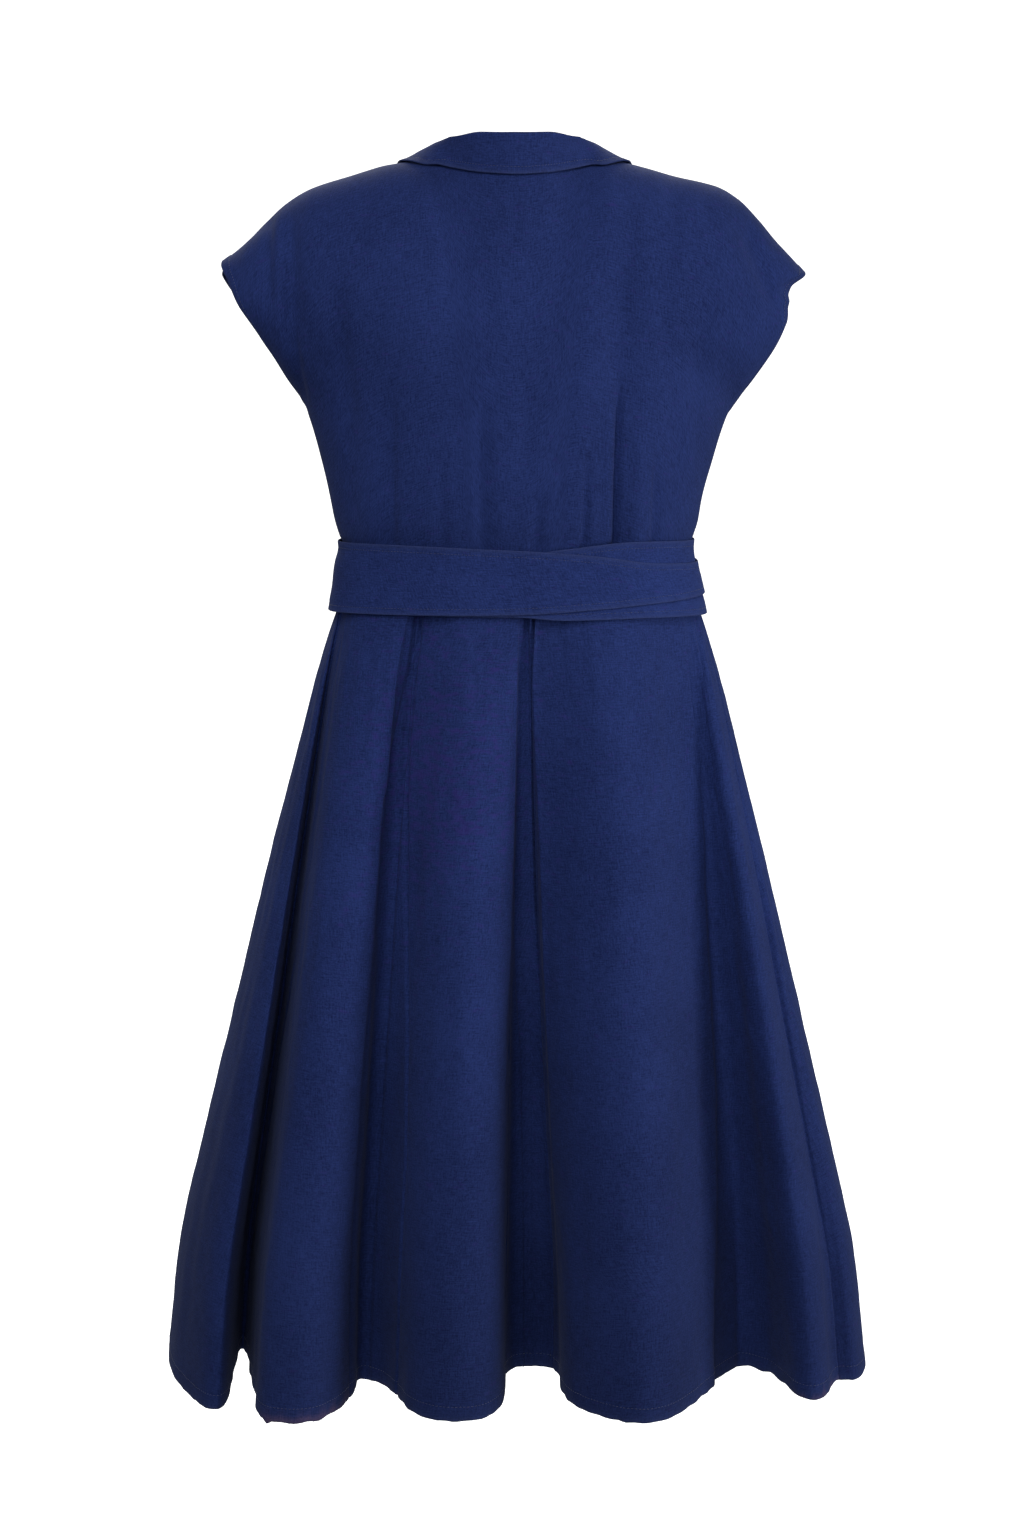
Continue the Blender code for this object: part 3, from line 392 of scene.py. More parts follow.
# A closed shell: the outer grid, the same grid moved in, and a half round rim along open edges.
def shell(name, outer, normals, thickness, weave, material, masks=None, around=False, rim=4):
    rows, columns = outer.shape[:2]
    thickness = np.broadcast_to(thickness, (rows, columns))[..., None]
    count = rows * columns
    ids = np.arange(count).reshape(rows, columns)
    points = [outer.reshape(-1, 3), (outer - normals * thickness).reshape(-1, 3)]
    faces = [gridFaces(rows, columns, 0, around), gridFaces(rows, columns, count, around)[:, ::-1]]
    source = [np.arange(count), np.arange(count)]
    total = 2 * count
    if around:
        loops = [ids[0], ids[-1][::-1]]
    else:
        loops = [np.concatenate([ids[0], ids[1:, -1], ids[-1, -2::-1], ids[-2:0:-1, 0]])]
    for loop in loops:
        row, column = loop // columns, loop % columns
        nearRow = np.clip(row, 1, rows - 2)
        nearColumn = column if around else np.clip(column, 1, columns - 2)
        flat = outer.reshape(-1, 3)
        normal = normals.reshape(-1, 3)[loop]
        outward = flat[loop] - outer[nearRow, nearColumn]
        outward = unit(outward - normal * np.sum(outward * normal, axis=-1, keepdims=True))
        half = thickness.reshape(-1, 1)[loop] / 2
        previous = loop
        for step in range(1, rim + 1):
            if step == rim:
                ring = loop + count
            else:
                angle = math.pi * step / rim
                points.append(flat[loop] - normal * half * (1 - math.cos(angle))
                              + outward * half * math.sin(angle))
                ring = total + np.arange(len(loop))
                source.append(loop)
                total += len(loop)
            faces.append(np.stack([np.roll(previous, -1), previous, ring, np.roll(ring, -1)], -1))
            previous = ring
    points, faces, source = np.concatenate(points), np.concatenate(faces), np.concatenate(source)
    first = outer[1, 0] - outer[0, 0]
    if np.dot(np.cross(outer[0, 1] - outer[0, 0], first), normals[0, 0]) < 0:
        faces = faces[:, ::-1]
    grids = {key: np.broadcast_to(values, (rows, columns)).reshape(-1)[source]
             for key, values in (masks or {}).items()}
    return meshObject(name, points, faces, material, weave.reshape(-1, 2)[source], grids)


# Values carried by a path's points, read at distances along it.
def alongPath(path, values, distances):
    steps = np.linalg.norm(np.diff(path, axis=0), axis=-1)
    length = np.concatenate([[0], np.cumsum(steps)])
    return np.stack([np.interp(distances, length, values[:, axis]) for axis in range(3)], -1)


# Sum of the lengths of a path's steps.
def pathLength(path):
    return np.linalg.norm(np.diff(path, axis=0), axis=-1).sum()


stitch = {"pitch": 0.0030, "length": 0.0022, "radius": 0.00019, "sides": 4, "ahead": 0.0008}


# Short threads along each run of (points, normals): a round bead whose ends dip into the cloth,
# lying along the run or, where it is turned, across it.
def stitchRun(name, runs, material, pitch=stitch["pitch"], length=stitch["length"], turned=False):
    profile = table("along radius rise", [
        (-0.50, 0.35, -0.9), (-0.26, 1.0, 0.45), (0.26, 1.0, 0.45), (0.50, 0.35, -0.9)])
    turns = (np.arange(stitch["sides"]) + 0.5) * 2 * math.pi / stitch["sides"]
    allPoints, allFaces, total = [], [], 0
    for path, normals in runs:
        whole = pathLength(path)
        count = max(1, int(whole / pitch))
        middle = (np.arange(count) + 0.5) * whole / count
        centre = alongPath(path, path, middle)
        ahead = unit(alongPath(path, path, middle + stitch["ahead"])
                     - alongPath(path, path, middle - stitch["ahead"]))
        normal = unit(alongPath(path, normals, middle))
        across = unit(np.cross(normal, ahead))
        if turned:
            ahead, across = across, -ahead
        rings = []
        for along, radius, rise in zip(*profile.values()):
            ring = (centre + ahead * along * length + normal * rise * stitch["radius"])[:, None]
            ring = ring + stitch["radius"] * radius * (
                across[:, None] * np.cos(turns)[:, None] + normal[:, None] * np.sin(turns)[:, None])
            rings.append(ring)
        block = np.stack(rings, axis=1)
        sides, levels = stitch["sides"], len(rings)
        quads = np.concatenate([gridFaces(levels, sides, 0, True), [[3, 2, 1, 0]],
                                np.arange(sides)[None] + (levels - 1) * sides])
        starts = total + np.arange(count) * levels * sides
        allPoints.append(block.reshape(-1, 3))
        allFaces.append((starts[:, None, None] + quads).reshape(-1, 4))
        total += count * levels * sides
    return meshObject(name, np.concatenate(allPoints), np.concatenate(allFaces), material)


# A shader node with its own settings and its sockets' values.
def addNode(tree, kind, values=None, **settings):
    node = tree.nodes.new(kind)
    for key, value in settings.items():
        setattr(node, key, value)
    for key, value in (values or {}).items():
        node.inputs[key].default_value = value
    return node


# Links from each source to its target.
def wire(tree, pairs):
    for source, target in pairs:
        tree.links.new(source, target)


# A Math node whose inputs are sockets or numbers, and its output.
def maths(tree, operation, first, second=None, clamp=False):
    node = addNode(tree, "ShaderNodeMath", operation=operation, use_clamp=clamp)
    for socket, value in zip(node.inputs, (first, second)):
        if value is None:
            continue
        if isinstance(value, (int, float)):
            socket.default_value = value
        else:
            tree.links.new(value, socket)
    return node.outputs[0]


# A colour Mix node whose inputs are sockets or values, and its result.
def blend(tree, factor, first, second, mode="MIX"):
    node = addNode(tree, "ShaderNodeMix", data_type="RGBA", blend_type=mode, clamp_factor=True)
    sockets = (node.inputs[0], node.inputs[6], node.inputs[7])
    for socket, value in zip(sockets, (factor, first, second)):
        if isinstance(value, bpy.types.NodeSocket):
            tree.links.new(value, socket)
        else:
            socket.default_value = value
    return node.outputs[2]


# An empty node group with named sockets, its input node and its output node.
def newGroup(name, inputs, outputs):
    group = bpy.data.node_groups.new(name, "ShaderNodeTree")
    for socketName, kind in inputs:
        group.interface.new_socket(socketName, in_out="INPUT", socket_type=kind)
    for socketName, kind in outputs:
        group.interface.new_socket(socketName, in_out="OUTPUT", socket_type=kind)
    return group, addNode(group, "NodeGroupInput"), addNode(group, "NodeGroupOutput")


# A colour with its red, green and blue times a factor.
def toned(colour, factor):
    return tuple(part * factor for part in colour[:3]) + (1,)


# A new material, its node tree and its Principled BSDF.
def newMaterial(name):
    material = bpy.data.materials.new(name)
    material.use_nodes = True
    return material, material.node_tree, material.node_tree.nodes["Principled BSDF"]


# A Bump node fed by a height, and its normal in the shader.
def bumped(tree, shader, height, strength, depth):
    bump = addNode(tree, "ShaderNodeBump", {"Strength": strength, "Distance": depth})
    wire(tree, [(height, bump.inputs["Height"]), (bump.outputs["Normal"], shader.inputs["Normal"])])


# Noise stretched along one thread direction.
def streaks(tree, vector, scale, seed, detail=2.0):
    mapped = addNode(tree, "ShaderNodeMapping", {"Scale": scale, "Location": (seed, seed * 0.7, 0)})
    noise = addNode(tree, "ShaderNodeTexNoise", {"Scale": 1.0, "Detail": detail, "Roughness": 0.6})
    wire(tree, [(vector, mapped.inputs["Vector"]), (mapped.outputs[0], noise.inputs["Vector"])])
    return noise.outputs["Fac"]


weaveShape = {
    "jitterNoise": {"Scale": 260.0, "Detail": 1.0}, "jitter": 0.00022,
    "warp": (1150.0, 95.0, 1.0), "weft": (85.0, 1150.0, 1.0), "speckle": (620.0, 620.0, 1.0),
    "threadShare": 0.32, "speckleShare": 0.36, "crownHeight": 0.55, "slubHeight": 0.9,
}


# Plain weave in metric weave coordinates: thread crowns (sine across times sine along), slubs both
# ways, and their height.
def plainWeaveGroup():
    group, source, result = newGroup(
        "plainWeave", [("Weave", "NodeSocketVector"), ("Pitch", "NodeSocketFloat")],
        [("Crown", "NodeSocketFloat"), ("Slub", "NodeSocketFloat"), ("Height", "NodeSocketFloat")])
    weave = source.outputs["Weave"]
    jitter = addNode(group, "ShaderNodeTexNoise", weaveShape["jitterNoise"])
    jitter.noise_dimensions = "2D"
    moved = addNode(group, "ShaderNodeVectorMath", operation="MULTIPLY_ADD")
    moved.inputs[1].default_value = (weaveShape["jitter"], weaveShape["jitter"], 0)
    parts = addNode(group, "ShaderNodeSeparateXYZ")
    wire(group, [(weave, jitter.inputs["Vector"]), (jitter.outputs["Color"], moved.inputs[0]),
                 (weave, moved.inputs[2]), (moved.outputs[0], parts.inputs[0])])
    waves = []
    for axis in range(2):
        turns = maths(group, "DIVIDE", parts.outputs[axis], source.outputs["Pitch"])
        waves.append(maths(group, "SINE", maths(group, "MULTIPLY", turns, math.pi)))
    crown = maths(group, "MULTIPLY_ADD", maths(group, "MULTIPLY", waves[0], waves[1]), 0.5)
    crown.node.inputs[2].default_value = 0.5
    warp = streaks(group, weave, weaveShape["warp"], 3.1)
    weft = streaks(group, weave, weaveShape["weft"], 7.7)
    speckle = streaks(group, weave, weaveShape["speckle"], 1.9)
    threads = maths(group, "MULTIPLY", maths(group, "ADD", warp, weft), weaveShape["threadShare"])
    slub = maths(group, "ADD", threads,
                 maths(group, "MULTIPLY", speckle, weaveShape["speckleShare"]))
    height = maths(group, "ADD", maths(group, "MULTIPLY", crown, weaveShape["crownHeight"]),
                   maths(group, "MULTIPLY", slub, weaveShape["slubHeight"]))
    wire(group, [(crown, result.inputs["Crown"]), (slub, result.inputs["Slub"]),
                 (height, result.inputs["Height"])])
    return group


dyeAndShadeShape = {
    "cloud": {"Scale": 9.0, "Detail": 4.0, "Roughness": 0.55},
    "tint": {"Scale": 110.0, "Detail": 4.0, "Roughness": 0.7},
    "flatten": (0.7, 0.7, 1.9), "bloomShare": 0.16, "tintFrom": 0.60, "tintSteep": 6.0,
    # fade: painted shade, the colour darkens towards the hem as if the light fell off lower down
    "fade": {"From Min": -1.08, "From Max": -0.62, "To Min": 0.68, "To Max": 1.0},
}


# Uneven dye in object coordinates: a broad cloudy mask and a finer tinted one that grows where
# Bloom does; and painted shade, a fade by height that darkens the cloth towards the hem as the
# light falls off.
def unevenDyeAndShadeGroup():
    group, source, result = newGroup(
        "unevenDyeAndShade", [("Position", "NodeSocketVector"), ("Bloom", "NodeSocketFloat")],
        [("Cloud", "NodeSocketFloat"), ("Tint", "NodeSocketFloat"), ("Fade", "NodeSocketFloat")])
    position = source.outputs["Position"]
    cloud = addNode(group, "ShaderNodeTexNoise", dyeAndShadeShape["cloud"])
    tint = addNode(group, "ShaderNodeTexNoise", dyeAndShadeShape["tint"])
    flat = addNode(group, "ShaderNodeMapping", {"Scale": dyeAndShadeShape["flatten"]})
    parts = addNode(group, "ShaderNodeSeparateXYZ")
    # Painted shade: a map of height that darkens the cloth towards the hem, standing in for light
    # that falls off lower down.
    fade = addNode(group, "ShaderNodeMapRange", dyeAndShadeShape["fade"])
    bloom = maths(group, "MULTIPLY", source.outputs["Bloom"], dyeAndShadeShape["bloomShare"])
    bloomed = maths(group, "ADD", tint.outputs["Fac"], bloom)
    above = maths(group, "SUBTRACT", bloomed, dyeAndShadeShape["tintFrom"])
    raised = maths(group, "MULTIPLY", above, dyeAndShadeShape["tintSteep"], clamp=True)
    wire(group, [(position, cloud.inputs["Vector"]), (position, flat.inputs["Vector"]),
                 (flat.outputs[0], tint.inputs["Vector"]), (position, parts.inputs[0]),
                 (parts.outputs["Z"], fade.inputs["Value"]),
                 (fade.outputs["Result"], result.inputs["Fade"]),
                 (cloud.outputs["Fac"], result.inputs["Cloud"]), (raised, result.inputs["Tint"])])
    return group


groups = {"weave": plainWeaveGroup(), "dyeAndShade": unevenDyeAndShadeGroup()}
clothLook = {
    "pitch": 0.00042,
    "dark": (0.0052, 0.0118, 0.060, 1), "light": (0.0165, 0.0325, 0.140, 1),
    "violet": (0.026, 0.017, 0.135, 1), "worn": (0.030, 0.042, 0.115, 1),
    "frayed": (0.085, 0.052, 0.095, 1),
    "slubTone": 4.4, "crownTone": 0.30, "cloudTone": 0.9, "violetShare": 0.50, "wornShare": 0.9,
    "frayFrom": 0.30, "fraySteep": 2.4, "rough": 0.93, "slubGloss": -0.12,
    "bump": 0.55, "bumpDepth": 0.00022,
    "sockets": {"Sheen Weight": 0.05, "Sheen Roughness": 0.45, "Sheen Tint": (0.45, 0.52, 0.85, 1),
                "Specular IOR Level": 0.10},
}


# A mask less its middle, times a share: how much it lightens or darkens the cloth.
def toneOf(tree, mask, share):
    return maths(tree, "MULTIPLY", maths(tree, "SUBTRACT", mask, 0.5), share)


# Navy plain weave: slubs and crowns in colour and bump, uneven dye, painted shade darker towards
# the hem, worn edges, a frayed hem.
def clothMaterial(name, lightness=1.0):
    material, tree, shader = newMaterial(name)
    for socket, value in clothLook["sockets"].items():
        shader.inputs[socket].default_value = value
    weaveUv = addNode(tree, "ShaderNodeUVMap", uv_map="weave")
    place = addNode(tree, "ShaderNodeTexCoord")
    weave = addNode(tree, "ShaderNodeGroup", node_tree=groups["weave"])
    weave.inputs["Pitch"].default_value = clothLook["pitch"]
    dyeAndShade = addNode(tree, "ShaderNodeGroup", node_tree=groups["dyeAndShade"])
    bloom, worn, frayed = (addNode(tree, "ShaderNodeAttribute", attribute_name=mask).outputs["Fac"]
                           for mask in ("bloom", "wear", "fray"))
    wire(tree, [(weaveUv.outputs[0], weave.inputs["Weave"]),
                (place.outputs["Object"], dyeAndShade.inputs["Position"]), (bloom, dyeAndShade.inputs["Bloom"])])
    slubs = weave.outputs["Slub"]
    slub = toneOf(tree, slubs, clothLook["slubTone"])
    crown = toneOf(tree, weave.outputs["Crown"], clothLook["crownTone"])
    cloud = toneOf(tree, dyeAndShade.outputs["Cloud"], clothLook["cloudTone"])
    tone = maths(tree, "ADD", maths(tree, "ADD", slub, crown), maths(tree, "ADD", cloud, 0.5),
                 clamp=True)
    colour = blend(tree, tone, toned(clothLook["dark"], lightness),
                   toned(clothLook["light"], lightness))
    violet = maths(tree, "MULTIPLY", dyeAndShade.outputs["Tint"], clothLook["violetShare"])
    colour = blend(tree, violet, colour, clothLook["violet"])
    # Painted shade: the colour is multiplied darker towards the hem, where the light falls off.
    colour = blend(tree, 1.0, colour, dyeAndShade.outputs["Fade"], "MULTIPLY")
    wornSlubs = maths(tree, "MULTIPLY", slubs, clothLook["wornShare"])
    colour = blend(tree, maths(tree, "MULTIPLY", worn, wornSlubs), colour, clothLook["worn"])
    loose = maths(tree, "MULTIPLY", maths(tree, "SUBTRACT", slubs, clothLook["frayFrom"]),
                  clothLook["fraySteep"], clamp=True)
    colour = blend(tree, maths(tree, "MULTIPLY", frayed, loose), colour, clothLook["frayed"])
    rough = maths(tree, "ADD", maths(tree, "MULTIPLY", slubs, clothLook["slubGloss"]),
                  clothLook["rough"])
    wire(tree, [(colour, shader.inputs["Base Color"]), (rough, shader.inputs["Roughness"])])
    bumped(tree, shader, weave.outputs["Height"], clothLook["bump"], clothLook["bumpDepth"])
    return material


threadLook = {"colour": (0.0070, 0.0140, 0.062), "dark": 0.7, "light": 1.35, "scale": 900.0,
              "twist": 1.5, "rough": 0.55, "sheen": 0.2, "bump": 0.5, "bumpDepth": 0.0001}


# Sewing thread: two twisted plies as slanting bands in object coordinates.
def threadMaterial(name):
    material, tree, shader = newMaterial(name)
    shader.inputs["Roughness"].default_value = threadLook["rough"]
    shader.inputs["Sheen Weight"].default_value = threadLook["sheen"]
    place = addNode(tree, "ShaderNodeTexCoord")
    noise = addNode(tree, "ShaderNodeTexNoise", {"Scale": threadLook["scale"], "Detail": 2.0})
    twist = addNode(tree, "ShaderNodeTexWave",
                    {"Scale": threadLook["scale"], "Distortion": threadLook["twist"]},
                    bands_direction="DIAGONAL")
    wire(tree, [(place.outputs["Object"], noise.inputs["Vector"]),
                (place.outputs["Object"], twist.inputs["Vector"])])
    colour = blend(tree, noise.outputs["Fac"], toned(threadLook["colour"], threadLook["dark"]),
                   toned(threadLook["colour"], threadLook["light"]))
    wire(tree, [(colour, shader.inputs["Base Color"])])
    bumped(tree, shader, twist.outputs["Fac"], threadLook["bump"], threadLook["bumpDepth"])
    return material


buttonLook = {"dark": (0.006, 0.009, 0.030, 1), "light": (0.022, 0.030, 0.085, 1), "coat": 0.35,
              "coatRough": 0.12, "cloud": {"Scale": 160.0, "Detail": 4.0, "Distortion": 0.8},
              "scratch": {"Scale": 900.0, "Detail": 2.0}, "rough": 0.20, "scratchRough": 0.18,
              "bump": 0.15, "bumpDepth": 0.0001}


# Dark navy moulded plastic with faint clouds and fine scratches.
def buttonMaterial():
    material, tree, shader = newMaterial("buttonPlastic")
    shader.inputs["Coat Weight"].default_value = buttonLook["coat"]
    shader.inputs["Coat Roughness"].default_value = buttonLook["coatRough"]
    place = addNode(tree, "ShaderNodeTexCoord")
    cloud = addNode(tree, "ShaderNodeTexNoise", buttonLook["cloud"])
    scratch = addNode(tree, "ShaderNodeTexNoise", buttonLook["scratch"])
    wire(tree, [(place.outputs["Object"], cloud.inputs["Vector"]),
                (place.outputs["Object"], scratch.inputs["Vector"])])
    colour = blend(tree, cloud.outputs["Fac"], buttonLook["dark"], buttonLook["light"])
    rough = maths(tree, "ADD",
                  maths(tree, "MULTIPLY", scratch.outputs["Fac"], buttonLook["scratchRough"]),
                  buttonLook["rough"])
    wire(tree, [(colour, shader.inputs["Base Color"]), (rough, shader.inputs["Roughness"])])
    bumped(tree, shader, scratch.outputs["Fac"], buttonLook["bump"], buttonLook["bumpDepth"])
    return material


looks = {
    "bodice": clothMaterial("navyBodice"),
    "skirt": clothMaterial("navySkirt"),
    "collar": clothMaterial("navyCollar", 0.98),
    "sash": clothMaterial("navySash", 1.10),
    "thread": threadMaterial("navyThread"),
    "button": buttonMaterial(),
}
print("materials ready")


# exp(-distance / width): 1 at an edge and fading away from it.
def edgeWear(distance, width=0.0035):
    return np.exp(-np.maximum(distance, 0) / width)


# 0 to 1 in even steps, with a few closer ones at both ends for seams and hems.
def denseEnds(count, extra=(0.15, 0.35, 0.6)):
    even = np.linspace(0, 1, count + 1)
    close = np.array(extra) / count
    return np.concatenate([even[:1], close, even[1:-1], 1 - close[::-1], even[-1:]])


seam = {"dip": 0.0007, "dipWidth": 0.0017, "rise": 0.00025, "riseAt": 0.0045, "riseWidth": 0.002}


# The cloth rolls in towards a seam: a narrow bell down at it and a faint one up beside it.
def seamDip(distance):
    return (-seam["dip"] * bell(distance, seam["dipWidth"])
            + seam["rise"] * bell(distance - seam["riseAt"], seam["riseWidth"]))


# A turned hem or band: a raised strip from the edge inwards, with its edge rounded off.
def turnedBand(distance, ends, rise, rounding=0.0012):
    return rise * (1 - ease(*ends, distance)) * ease(0, rounding, distance)


# A row of topstitching pulls a narrow groove into the cloth at a distance from its edge.
def stitchGroove(distance, depth, at, width):
    return -depth * bell(distance - at, width)


# The piece rides the one body and stands for its nodes, whose parts are hidden.
def finishPiece(piece, nodes):
    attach(piece, "root")
    if nodes:
        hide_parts(*nodes)
    return piece


bodiceCreases = [
    # side, line of (x, z), depth, widths to the wearer's left and right, fade
    (1, [(-0.088, -0.110), (-0.088, -0.238), (-0.087, -0.385)], 0.0062, (0.014, 0.014), 0.050),
    (1, [(-0.0885, -0.215), (-0.0875, -0.300), (-0.0862, -0.385)], 0.0055, (0.0022, 0.0032), 0.030),
    (1, [(-0.081, -0.200), (-0.079, -0.385)], -0.0022, (0.0050, 0.0040), 0.030),
    (1, [(-0.060, -0.270), (-0.056, -0.385)], 0.0030, (0.0020, 0.0050), 0.025),
    (1, [(-0.105, -0.235), (-0.104, -0.385)], -0.0014, (0.007, 0.007), 0.030),
    (1, [(-0.120, -0.265), (-0.118, -0.385)], 0.0030, (0.0026, 0.0060), 0.025),
    (1, [(0.151, -0.120), (0.141, -0.248)], 0.0040, (0.008, 0.010), 0.035),
    (1, [(0.106, -0.205), (0.107, -0.385)], 0.0042, (0.010, 0.006), 0.035),
    (1, [(0.062, -0.275), (0.060, -0.385)], 0.0022, (0.006, 0.006), 0.030),
    (1, [(0.028, -0.230), (0.028, -0.385)], 0.0032, (0.005, 0.008), 0.035),
    (1, [(-0.018, -0.290), (-0.017, -0.385)], 0.0020, (0.005, 0.007), 0.025),
    (1, [(0.001, -0.030), (0.000, -0.070)], 0.0009, (0.004, 0.004), 0.015),
    (1, [(0.212, -0.055), (0.209, -0.135)], 0.0034, (0.006, 0.006), 0.020),
    (1, [(0.193, -0.055), (0.190, -0.165)], 0.0066, (0.006, 0.010), 0.030),
    (1, [(0.188, -0.165), (0.182, -0.220)], 0.0032, (0.004, 0.004), 0.015),
    (1, [(-0.198, -0.068), (-0.210, -0.100), (-0.221, -0.132)], 0.0062, (0.012, 0.007), 0.020),
    (1, [(-0.197, -0.196), (-0.188, -0.222)], -0.0016, (0.004, 0.004), 0.010),
    (-1, [(0.085, -0.265), (0.078, -0.372)], 0.0034, (0.010, 0.010), 0.030),
    (-1, [(0.112, -0.300), (0.103, -0.372)], 0.0016, (0.007, 0.007), 0.020),
    (-1, [(-0.082, -0.258), (-0.076, -0.372)], 0.0034, (0.010, 0.010), 0.030),
    (-1, [(-0.108, -0.305), (-0.101, -0.372)], 0.0018, (0.007, 0.007), 0.020),
    (-1, [(0.192, -0.070), (0.186, -0.170)], 0.0034, (0.010, 0.010), 0.025),
    (-1, [(-0.194, -0.075), (-0.190, -0.165)], 0.0036, (0.010, 0.010), 0.025),
    (-1, [(0.150, -0.180), (0.128, -0.290)], 0.0016, (0.009, 0.009), 0.030),
    (-1, [(-0.152, -0.185), (-0.131, -0.295)], 0.0016, (0.009, 0.009), 0.030),
]


# Places across half a sheet: even to the neck point, even beyond, close at the side.
def bodiceColumns(count):
    neck = math.asin(bodice["neckShare"]) * 2 / math.pi
    inner = np.linspace(0, neck, max(2, int(count * neck)) + 1)
    outer = neck + (1 - neck) * denseEnds(int(count * (1 - neck)))[1:]
    return np.concatenate([inner, outer])


bodiceDress = {
    # ripples: depth, shortest and longest wave, lean, seed
    "ripples": [(0.00055, 0.025, 0.080, 0.18, 11), (0.00020, 0.010, 0.030, 0.15, 21)],
    "underarm": 0.555, "seamFade": 0.024, "notchReach": 0.020, "edgeWear": 0.8, "foldWear": 0.5,
    "hem": (0.009, 0.011), "hemRise": 0.0006, "hemThick": 0.0007,
    "band": (0.024, 0.027), "bandRise": 0.0004,
    "backRows": 98, "backColumns": 136, "frontRows": 100, "frontColumns": 120, "lapColumns": 8,
}
sleeveNotches = [
    # sheet, back (1) or front (-1); wearer's left (1) or right (-1); heights where it starts, is
    # deepest and ends; depth
    (1, -1, (-0.1072, -0.1185, -0.150), 0.0100), (-1, -1, (-0.1072, -0.1200, -0.152), 0.0120),
    (1, -1, (-0.1240, -0.1300, -0.137), -0.0016),
    (1, 1, (-0.1000, -0.1130, -0.142), 0.0020), (-1, 1, (-0.0972, -0.1090, -0.152), -0.0076),
]


# How far a sleeve's edge is drawn in: a smooth rise and fall with height, fading into the sleeve.
def notchShift(side, points, hemDistance):
    total = 0
    for sheetSide, wearerSide, (top, middle, low), depth in sleeveNotches:
        if sheetSide != side:
            continue
        rise = ease(-top, -middle, -points[..., 2]) * (1 - ease(-middle, -low, -points[..., 2]))
        inward = np.where(points[..., 0] * wearerSide > 0, -wearerSide, 0)
        total = total + inward * depth * rise * bell(hemDistance, bodiceDress["notchReach"])
    return total


# Creases that die out at the shoulder, fine ripples, seams that roll in and a turned sleeve hem.
def dressBodice(sheet, across, up, points, normals):
    side = 1 if sheet == "back" else -1
    relief = bodiceRelief(bodiceCreases, side, points)
    x, z = points[..., 0], points[..., 2]
    for depth, low, high, lean, seed in bodiceDress["ripples"]:
        relief = relief + depth * ripple(x, z, low, high, lean, seed + side)
    fromTop = gridSpans(points)[1]
    fromTop = fromTop[-1:] - fromTop
    relief = relief * ease(0, bodiceDress["seamFade"], fromTop)
    rise = 1 - (1 - up) ** 2
    edgeDistance = sleeveEdge(points, across, sheet)
    faraway = 0.2
    sideDistance = np.where(rise < bodiceDress["underarm"], edgeDistance, faraway)
    hemDistance = np.where(rise < bodiceDress["underarm"], faraway, edgeDistance)
    relief = relief + seamDip(sideDistance)
    relief = relief + turnedBand(hemDistance, bodiceDress["hem"], bodiceDress["hemRise"])
    dressed = points + normals * relief[..., None]
    dressed[..., 0] += notchShift(side, points, hemDistance)
    return dressed, hemDistance


# Distance along each row from the sleeve's or side's edge: the nearest one on the back, the last
# column on a front.
def sleeveEdge(points, across, sheet):
    span = gridSpans(points)[0]
    return np.where((across > 0) | (sheet == "front"), span[:, -1:] - span, span)


grids = {}


# The back: columns mirrored about the middle one, rows from the waist to the shoulder.
def buildBodiceBack():
    half = bodiceColumns(bodiceDress["backColumns"])
    across = np.concatenate([-half[:0:-1], half])
    up = denseEnds(bodiceDress["backRows"])[:, None] + np.zeros(len(across))
    across = across + np.zeros_like(up)
    points, normals = bodiceSurface("back", across, up)
    dressed, hemDistance = dressBodice("back", across, up, points, normals)
    shoulderDistance = gridSpans(points)[1]
    shoulderDistance = shoulderDistance[-1:] - shoulderDistance
    onSeam = neckPart(np.sin(across * math.pi / 2)) >= 1
    dressed = dressed + normals * np.where(onSeam, seamDip(shoulderDistance), 0)[..., None]
    weave = metricWeave(points[::-1], across.shape[1] // 2)[::-1]
    wear = bodiceDress["edgeWear"] * edgeWear(hemDistance)
    hemmed = 1 - ease(*bodiceDress["hem"], hemDistance)
    thickness = bodice["cloth"] + bodiceDress["hemThick"] * hemmed
    piece = shell("bodiceBack", dressed[::-1], normals[::-1], thickness[::-1], weave[::-1],
                  looks["bodice"], {"wear": wear[::-1], "fray": 0.0})
    grids["bodiceBack"] = (dressed, normals, hemDistance, across)
    return finishPiece(piece, ["bodice_back"])


# The left side's edge passes under the right one's: a step in by the cloth and a gap, eased out
# beyond the lap.
def tuckedUnder(points, normals):
    tucked = 1 - ease(bodice["lap"], bodice["lap"] + bodice["lapBlend"], points[..., 0])
    return points - normals * (tucked * (bodice["cloth"] + bodice["lapGap"]))[..., None]


# A front: a lap past the centre, then columns to the side; rows end on the V or the shoulder.
def buildBodiceFront(side, sign):
    rise = 1 - (1 - denseEnds(bodiceDress["frontRows"])[:, None]) ** 2
    width = sideWidth(-sign, sideHeight(-sign, rise))
    lap = np.arcsin(bodice["lap"] / width) * 2 / math.pi
    columns = bodiceColumns(bodiceDress["frontColumns"])
    own = np.broadcast_to(columns, (len(rise), len(columns)))
    lapPlaces = lap * (1 - denseEnds(bodiceDress["lapColumns"])[:-1])
    across = sign * np.concatenate([-lapPlaces, own], axis=1)
    edge = np.where(across * sign > 0, frontEdgeHeight(across), bodice["vNeckZ"])
    up = upAtHeight("front", across, bodice["waistZ"] + (edge - bodice["waistZ"]) * rise)
    points, normals = bodiceSurface("front", across, up)
    if side == "Left":
        points = tuckedUnder(points, normals)
    dressed, hemDistance = dressBodice("front", across * sign, up, points, normals)
    return shapeFront(side, sign, across, up, points, dressed, normals, hemDistance)


